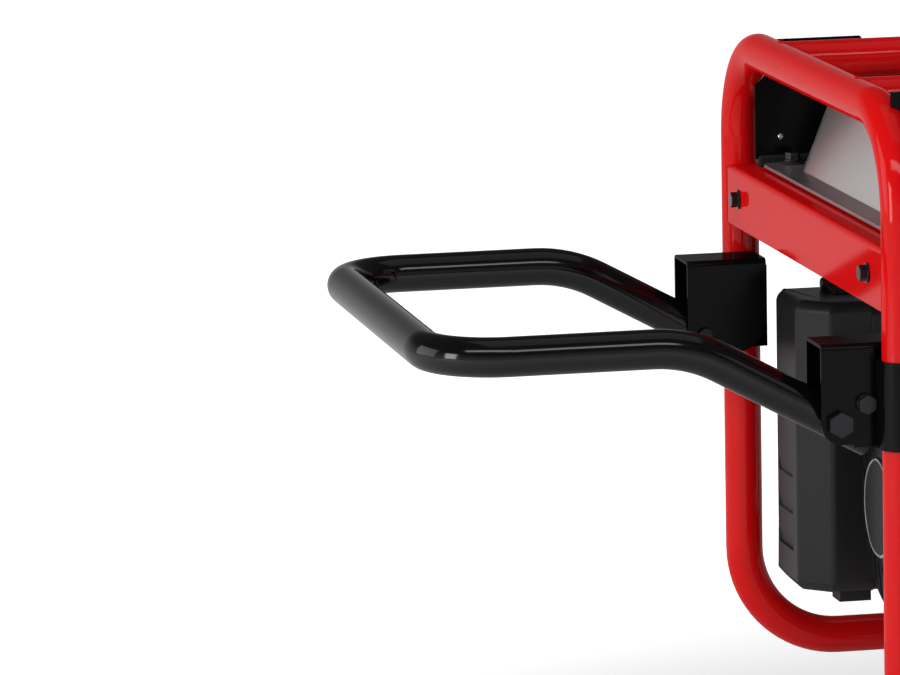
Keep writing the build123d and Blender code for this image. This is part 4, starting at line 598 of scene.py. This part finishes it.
class GENERATOR_OT_air_cleaner(bpy.types.Operator):
    """Finishes the air cleaner, rounds its cover and fits the clip of the cover"""

    bl_idname = "generator.air_cleaner"
    bl_label = "Air cleaner"

    def execute(self, context):
        # Moulded polypropylene: fine spark texture with a soft sheen
        moulded = finish(
            "Dark_grey_polypropylene", context.scene.generator_colours.grey, 0.5, specular=0.0, coat=0.25,
            coat_rough=0.3, mottle=0.08, mottle_mm=50.0, rough_spread=0.04, grain_mm=0.9, grain=0.16,
            grain_depth_mm=0.05, round_mm=1.5)
        dress(("air_cleaner_base",), moulded)
        settle(rounded_cover(), "air_cover_moulding", moulded, "frame")
        # The sprung clip that holds the cover on its base: a rolled eye and a bent tongue on the cover's top
        low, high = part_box("air_cleaner_cover")
        clip_inset, clip_share = 0.008, 0.8
        clip_x, clip_y = high.x - clip_inset, low.y + clip_share * (high.y - low.y)
        eye_rise, tongue_rise = 0.0042, 0.0018
        tongue_width, tongue_length, tongue_thickness = 0.02, 0.028, 0.003
        eye = stepped(24, [(3.2, -13), (4.4, -12), (4.4, 12), (3.2, 13)])
        stand(eye, (clip_x, clip_y, high.z + eye_rise), (1, 0, 0))
        bpy.ops.mesh.primitive_cube_add(
            size=1.0, location=(clip_x, clip_y - tongue_length / 2, high.z + tongue_rise))
        tongue = context.object
        tongue.scale = (tongue_width, tongue_length, tongue_thickness)
        tongue.rotation_euler.x = math.radians(5)
        take(tongue)
        bpy.ops.object.transform_apply(location=True, rotation=True, scale=True)
        bpy.ops.object.mode_set(mode="EDIT")
        bpy.ops.mesh.select_all(action="SELECT")
        bpy.ops.mesh.bevel(offset=0.0012, segments=3, affect="EDGES")
        bpy.ops.object.mode_set(mode="OBJECT")
        bpy.ops.object.shade_smooth_by_angle(angle=math.radians(32))
        settle(join(eye, tongue), "air_cover_clip", finishes["Moulded_black_nylon"], "frame")
        return {"FINISHED"}


class GENERATOR_OT_engine(bpy.types.Operator):
    """Finishes the engine's castings and covers, and fits the blower's bolts"""

    bl_idname = "generator.engine"
    bl_label = "Engine"

    def execute(self, context):
        # Sand cast aluminium: pale grey with a coarse skin
        dress(cast_parts, finish(
            "Cast_aluminium", "#8C8C8B", 0.5, metallic=0.85, mottle=0.12, mottle_mm=12.0,
            grain_mm=1.8, grain=0.4, grain_depth_mm=0.15))
        # Satin enamel over cast and pressed parts
        dress(engine_black, finish(
            "Black_engine_enamel", "#161618", 0.5, specular=0.0, coat=0.2, coat_rough=0.25, mottle=0.12,
            mottle_mm=30.0, grain_mm=1.6, grain=0.1))
        # Bolts of the blower housing, on a ring just outside the recoil cover
        low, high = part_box("recoil_cover")
        housing_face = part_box("blower_housing")[0].x
        cover_r = (high.z - low.z) / 2
        middle_y, middle_z = high.y - cover_r, (low.z + high.z) / 2
        bolt_radius, ring_gap = 3.4, 0.0062
        ring = cover_r + ring_gap
        bolt = flange_bolt(bolt_radius)
        for index, turn in enumerate((40, 130, 220, 310)):
            angle = math.radians(turn)
            place = (housing_face, middle_y + ring * math.cos(angle), middle_z + ring * math.sin(angle))
            copy = stand(another(bolt), place, (-1, 0, 0), angle)
            settle(copy, f"blower_bolt_{index + 1}", finishes["Black_oxide_steel"], "frame")
        bpy.data.objects.remove(bolt)
        return {"FINISHED"}


class GENERATOR_OT_alternator(bpy.types.Operator):
    """Finishes the alternator's core"""

    bl_idname = "generator.alternator"
    bl_label = "Alternator"

    def execute(self, context):
        # Varnished core sheets seen edge on: dark, half metallic, in fine bands
        dress(("stator", "rotor"), finish(
            "Varnished_laminations", "#4A4744", 0.45, metallic=0.6, mottle=0.25, mottle_mm=5.0, grain=0.5,
            grain_depth_mm=0.3, pattern=laminations))
        return {"FINISHED"}


class GENERATOR_OT_exhaust(bpy.types.Operator):
    """Finishes the muffler"""

    bl_idname = "generator.exhaust"
    bl_label = "Exhaust"

    def execute(self, context):
        # Rolled steel that heat has coloured: dull, straw and faint blue
        dress(("muffler",), finish(
            "Heat_dulled_steel", "#6E6760", 0.46, metallic=0.9, mottle=0.2, mottle_mm=25.0, grain_mm=6.0,
            grain=0.12, pattern=heat_tint))
        return {"FINISHED"}


class GENERATOR_OT_starter(bpy.types.Operator):
    """Fits the recoil cover's lip and draws the starter rope between its guide and the grip"""

    bl_idname = "generator.starter"
    bl_label = "Starter"

    def execute(self, context):
        # A lip round the flat of the recoil cover: a real lip, but its enamel is lighter than the cover's as
        # a painted highlight on the cover's edge
        low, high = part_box("recoil_cover")
        middle_y, middle_z = high.y - (high.z - low.z) / 2, (low.z + high.z) / 2
        lip_radius, lip_half, lip_depth = 0.0352, 0.0016, 0.0009
        clear_selection()
        bpy.ops.mesh.primitive_torus_add(
            major_segments=96, minor_segments=16, major_radius=lip_radius, minor_radius=lip_half,
            location=(low.x + lip_depth, middle_y, middle_z), rotation=(0, math.radians(90), 0))
        rim = context.object
        rim.scale = (1.0, 1.0, 0.8)
        take(rim)
        bpy.ops.object.shade_smooth()
        # Painted highlight: dark grey enamel, lighter than the cover's, smooth and glossy, with a bright line
        # of light
        lip_highlight_enamel = finish(
            "Lip_enamel_painted_highlight", "#2A2A2C", 0.2, coat=0.6, coat_rough=0.1, mottle=0.1, mottle_mm=20.0,
            grain_mm=2.0, grain=0.05)
        settle(rim, "recoil_lip_painted_highlight", lip_highlight_enamel, "frame")
        # The rope runs from inside the guide to inside the grip
        low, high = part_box("starter_grip")
        x, z = (low.x + high.x) / 2, (low.z + high.z) / 2
        past_grip, into_grip = 0.03, 0.004
        inner, outer = high.y + past_grip, high.y - into_grip
        clear_selection()
        bpy.ops.mesh.primitive_circle_add(
            vertices=16, radius=context.scene.generator_sizes.rope, fill_type="NGON", location=(x, inner, z),
            rotation=(math.radians(90), 0, 0))
        rope = context.object
        bpy.ops.object.transform_apply(location=True, rotation=True)
        bpy.ops.object.mode_set(mode="EDIT")
        bpy.ops.mesh.select_all(action="SELECT")
        steps = 24
        step_along = (0, (outer - inner) / steps, 0)
        for _ in range(steps):
            bpy.ops.mesh.extrude_region_move(TRANSFORM_OT_translate={"value": step_along})
        bpy.ops.mesh.select_all(action="SELECT")
        bpy.ops.mesh.normals_make_consistent(inside=False)
        bpy.ops.object.mode_set(mode="OBJECT")
        bpy.ops.object.shade_smooth_by_angle(angle=math.radians(50))
        rope.name = "starter_rope"
        rope.data.name = "starter_rope"
        # Plaited nylon: pale strands with dark flecks and a soft sheen
        rope.data.materials.append(finish(
            "Plaited_nylon", "#B9B4A6", 0.6, sheen=0.3, mottle=0.15, mottle_mm=3.0,
            grain=0.6, grain_depth_mm=0.4, pattern=strands))
        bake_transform(rope)
        return {"FINISHED"}


class GENERATOR_OT_panel(bpy.types.Operator):
    """Fits the control panel's screws and the signs of its switch"""

    bl_idname = "generator.panel"
    bl_label = "Control panel"

    def execute(self, context):
        low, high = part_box("panel_fascia")
        face = low.y + collar_height
        screw = pan_screw(context.scene.generator_sizes.screw)
        inset_x, inset_z = 0.012, 0.011
        corners = [
            (x, z) for x in (low.x + inset_x, (low.x + high.x) / 2, high.x - inset_x)
            for z in (low.z + inset_z, high.z - inset_z)]
        for index, (x, z) in enumerate(corners):
            copy = stand(another(screw), (x, face, z), (0, -1, 0), turn=0.3 + index)
            settle(copy, f"panel_screw_{index + 1}", finishes["Zinc_plated_steel"], "frame")
        bpy.data.objects.remove(screw)
        # White screen print: thin, matt, slightly uneven
        printed = finish(
            "White_screen_print", "#D8D8D2", 0.55, mottle=0.06, mottle_mm=5.0, grain_mm=0.8, grain=0.08)
        switch_low, switch_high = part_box("engine_switch")
        switch_x = (switch_low.x + switch_high.x) / 2
        sign_height, sign_gap = 8.0, 0.015
        lettering("ON", sign_height, (switch_x, face, switch_high.z + sign_gap), printed, "switch_on_sign")
        lettering("OFF", sign_height, (switch_x, face, switch_low.z - sign_gap), printed, "switch_off_sign")
        return {"FINISHED"}


class GENERATOR_OT_meter(bpy.types.Operator):
    """Builds the voltmeter: a bezel round a pale card with its scale, numbers and needle"""

    bl_idname = "generator.meter"
    bl_label = "Meter"

    def execute(self, context):
        low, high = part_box("panel_fascia")
        face = low.y + collar_height
        meter_x = (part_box("engine_switch")[1].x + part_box("breaker_button")[0].x) / 2
        meter_z = (low.z + high.z) / 2
        seat = (meter_x, face, meter_z)
        outer = context.scene.generator_sizes.meter
        inner = outer - 5.5
        nylon = finishes["Moulded_black_nylon"]
        bezel = stepped(64, [
            (outer, 0), (outer, 5.0), (outer - 2.0, 7.5), (outer - 4.0, 7.5), (inner, 5.0), (inner, 2.5)])
        settle(stand(bezel, seat, (0, -1, 0)), "meter_bezel", nylon, "frame")
        card = stepped(64, [(outer - 5.7, 2.2), (outer - 5.7, 3.0), (outer - 6.2, 3.3)])
        printed = finishes["White_screen_print"]
        settle(stand(card, seat, (0, -1, 0)), "meter_card", printed, "frame")
        # Printing ink: matt black
        ink = finish("Black_ink", "#1A1A1A", 0.6, mottle=0.1, mottle_mm=4.0, grain_mm=0.8, grain=0.08)
        print_y = face - 0.0034
        dial_z, pivot_z = meter_z - 0.006, meter_z - 0.009
        # Every fourth mark is a long one with its number
        mark_width, mark_depth, short_mark, long_mark = 0.5, 0.3, 2.0, 3.6
        angles = [math.radians(150 - 10 * step) for step in range(13)]
        marks = []
        for step, angle in enumerate(angles):
            length = long_mark if step % 4 == 0 else short_mark
            reach = (outer - 9.0 - length / 2) / 1000
            place = (meter_x + reach * math.cos(angle), print_y, dial_z + reach * math.sin(angle))
            bpy.ops.mesh.primitive_cube_add(size=0.001)
            mark = context.object
            mark.matrix_world = (
                Matrix.Translation(place) @ Matrix.Rotation(math.radians(90) - angle, 4, "Y")
                @ Matrix.Diagonal((mark_width, mark_depth, length, 1)))
            marks.append(mark)
        settle(join(*marks), "meter_scale", ink, "frame")
        number_height = 4.2
        reach = (outer - 16.0) / 1000
        for number, angle in zip((0, 100, 200, 300), angles[::4]):
            place = (meter_x + reach * math.cos(angle), print_y, dial_z + reach * math.sin(angle))
            lettering(str(number), number_height, place, ink, f"meter_number_{number}")
        needle = stepped(4, [(0.8, 0), (0.5, 16.0), (0.15, 20.0)])
        hub = stepped(24, [(3.2, -0.6), (3.2, 1.0), (2.6, 1.4)])
        needle_gap, needle_points = 0.001, (-0.82, 0, 0.57)
        stand(hub, (meter_x, print_y, pivot_z), (0, -1, 0))
        stand(needle, (meter_x, print_y - needle_gap, pivot_z), needle_points)
        settle(join(hub, needle), "meter_needle", ink, "frame")
        return {"FINISHED"}


class GENERATOR_OT_terminals(bpy.types.Operator):
    """Fits the earth stud and the two screw terminals for battery leads"""

    bl_idname = "generator.terminals"
    bl_label = "Terminals"

    def execute(self, context):
        low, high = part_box("panel_fascia")
        face = low.y + collar_height
        # Washer, nut and the end of the stud
        stud = join(
            stepped(36, [(9.0, 0), (9.0, 1.4), (8.4, 1.7)]),
            stepped(6, [(6.4, 1.6), (6.4, 6.4), (5.6, 7.0)]),
            stepped(24, [(3.0, 6.5), (3.0, 15.0), (2.4, 16.0)]))
        stud_x, stud_z = high.x - 0.03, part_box("socket_outlets")[0].z + 0.012
        stand(stud, (stud_x, face, stud_z), (0, -1, 0))
        settle(stud, "earth_stud", finishes["Zinc_plated_steel"], "frame")
        breaker_low, breaker_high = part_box("breaker_button")
        post_x, post_z = breaker_low.x - 0.045, (breaker_low.z + breaker_high.z) / 2
        post_spacing = 0.026
        for name, offset, material, slot in (
            ("red", -post_spacing / 2, "Red_switch_plastic", "switch_plastic"),
            ("black", post_spacing / 2, "Moulded_black_nylon", "black_plastic"),
        ):
            post = stepped(40, [
                (10.0, 0), (10.0, 2.0), (7.4, 2.4), (7.4, 6.0),
                (8.6, 6.4), (8.6, 15.0), (7.6, 16.4), (3.4, 16.4)])
            stand(post, (post_x + offset, face, post_z), (0, -1, 0))
            settle(post, f"battery_post_{name}", finishes[material], "frame")
        return {"FINISHED"}


class GENERATOR_OT_stage(bpy.types.Operator):
    """Sets the floor, the world, the lamps and the camera"""

    bl_idname = "generator.stage"
    bl_label = "Stage"

    def execute(self, context):
        scene = context.scene
        clear_selection()
        bpy.ops.mesh.primitive_plane_add(size=40.0, location=(0, 0, -0.0005))
        floor = context.object
        floor.name = "floor"
        white = bpy.data.materials.new("Pale_floor")
        white.use_nodes = True
        tree = white.node_tree
        tree.nodes.clear()
        lit = put(tree, "ShaderNodeBsdfDiffuse", {"Color": linear("#F0F0F0")})
        # The glow grows away from the object, so its shadow stays and the far floor is as white as the near
        place = put(tree, "ShaderNodeTexCoord", {}).outputs["Object"]
        away = put(tree, "ShaderNodeVectorMath", {0: place}, operation="LENGTH")
        rise = put(tree, "ShaderNodeMapRange", {
            "Value": away.outputs["Value"], "From Min": 0.5, "From Max": 1.3, "To Min": 0.36, "To Max": 0.9},
            interpolation_type="SMOOTHSTEP")
        glow = put(tree, "ShaderNodeEmission", {
            "Color": linear("#FFFFFF"), "Strength": rise.outputs["Result"]})
        both = put(tree, "ShaderNodeAddShader", {0: lit.outputs[0], 1: glow.outputs[0]})
        mixed = put(tree, "ShaderNodeMixShader", {
            0: seen_rays(tree), 1: lit.outputs[0], 2: both.outputs[0]})
        put(tree, "ShaderNodeOutputMaterial", {"Surface": mixed.outputs[0]})
        floor.data.materials.append(white)

        world = bpy.data.worlds.new("Studio")
        scene.world = world
        world.use_nodes = True
        tree = world.node_tree
        tree.nodes.clear()
        soft = put(tree, "ShaderNodeBackground", {"Color": linear("#F4F6FA"), "Strength": 0.22})
        # White all round at the height of the object, with the dim ceiling of a studio above it
        looking = put(tree, "ShaderNodeTexCoord", {}).outputs["Generated"]
        heights = put(tree, "ShaderNodeSeparateXYZ", {0: looking})
        ceiling = put(tree, "ShaderNodeMapRange", {
            "Value": heights.outputs["Z"], "From Min": 0.03, "From Max": 0.35, "To Min": 1.0, "To Max": 0.15})
        clean = put(tree, "ShaderNodeBackground", {
            "Color": linear("#FFFFFF"), "Strength": ceiling.outputs["Result"]})
        mixed = put(tree, "ShaderNodeMixShader", {
            0: seen_rays(tree), 1: soft.outputs[0], 2: clean.outputs[0]})
        put(tree, "ShaderNodeOutputWorld", {"Surface": mixed.outputs[0]})

        # Each lamp's place and size in metres, and its power in watts
        for name, place, size, power in (
            ("key", (-0.9, -2.6, 2.9), (4.2, 0.6), 75.0),
            ("side", (-2.8, -1.1, 0.75), (0.7, 1.1), 38.0),
            ("left", (-3.2, 0.8, 1.0), (1.8, 1.6), 30.0),
            ("fill", (2.4, -2.0, 1.6), (1.8, 1.8), 10.0),
            ("top", (0.2, 0.0, 3.0), (2.2, 2.2), 10.0),
        ):
            lamp = bpy.data.lights.new(name, "AREA")
            lamp.shape = "RECTANGLE"
            lamp.size, lamp.size_y = size
            lamp.energy = power
            holder = bpy.data.objects.new(name, lamp)
            scene.collection.objects.link(holder)
            holder.location = place
            holder.visible_camera = False
            aim = Vector((0, 0, 0.3)) - Vector(place)
            holder.rotation_euler = aim.to_track_quat("-Z", "Y").to_euler()

        camera = bpy.data.cameras.new("camera")
        camera.lens = 265.7
        camera.sensor_width = 36.0
        camera.clip_end = 100.0
        holder = bpy.data.objects.new("camera", camera)
        scene.collection.objects.link(holder)
        stands_at = Vector((-1.3547, -4.5997, 1.1787))
        azimuth, elevation, roll = math.radians(-11.27), math.radians(9.43), math.radians(-1.11)
        back = Vector((
            math.sin(azimuth) * math.cos(elevation), -math.cos(azimuth) * math.cos(elevation),
            math.sin(elevation)))
        level = Vector((math.cos(azimuth), math.sin(azimuth), 0.0))
        right = math.cos(roll) * level + math.sin(roll) * back.cross(level)
        up = back.cross(right)
        holder.matrix_world = Matrix((
            (right.x, up.x, back.x, stands_at.x),
            (right.y, up.y, back.y, stands_at.y),
            (right.z, up.z, back.z, stands_at.z),
            (0, 0, 0, 1)))
        scene.camera = holder
        scene.view_settings.view_transform = "Standard"
        return {"FINISHED"}


class GENERATOR_PT_sidebar(bpy.types.Panel):
    """Buttons for each group of pieces"""

    bl_idname = "GENERATOR_PT_sidebar"
    bl_label = "Generator"
    bl_space_type = "VIEW_3D"
    bl_region_type = "UI"
    bl_category = "Generator"

    def draw(self, context):
        for settings in (context.scene.generator_colours, context.scene.generator_sizes):
            for name in settings.__annotations__:
                self.layout.prop(settings, name)
        for operator in operators:
            self.layout.operator(operator.bl_idname)


operators = (
    GENERATOR_OT_frame, GENERATOR_OT_fasteners, GENERATOR_OT_handle, GENERATOR_OT_shield,
    GENERATOR_OT_mouldings, GENERATOR_OT_tyres, GENERATOR_OT_tank, GENERATOR_OT_air_cleaner,
    GENERATOR_OT_engine, GENERATOR_OT_alternator, GENERATOR_OT_exhaust, GENERATOR_OT_starter,
    GENERATOR_OT_panel, GENERATOR_OT_meter, GENERATOR_OT_terminals, GENERATOR_OT_stage,
)
classes = (GeneratorColours, GeneratorSizes) + operators + (GENERATOR_PT_sidebar,)


def register():
    """Registers the classes and hangs the settings on the scene."""
    for kind in classes:
        bpy.utils.register_class(kind)
    bpy.types.Scene.generator_colours = bpy.props.PointerProperty(type=GeneratorColours)
    bpy.types.Scene.generator_sizes = bpy.props.PointerProperty(type=GeneratorSizes)


def unregister():
    """Takes the settings and the classes away again."""
    del bpy.types.Scene.generator_colours
    del bpy.types.Scene.generator_sizes
    for kind in reversed(classes):
        bpy.utils.unregister_class(kind)


def main():
    """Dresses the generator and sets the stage."""
    register()
    bpy.ops.generator.frame()
    bpy.ops.generator.fasteners()
    bpy.ops.generator.handle()
    bpy.ops.generator.shield()
    bpy.ops.generator.mouldings()
    bpy.ops.generator.tyres()
    bpy.ops.generator.tank()
    bpy.ops.generator.air_cleaner()
    bpy.ops.generator.engine()
    bpy.ops.generator.alternator()
    bpy.ops.generator.exhaust()
    bpy.ops.generator.starter()
    bpy.ops.generator.panel()
    bpy.ops.generator.meter()
    bpy.ops.generator.terminals()
    bpy.ops.generator.stage()


if __name__ == "__main__":
    main()
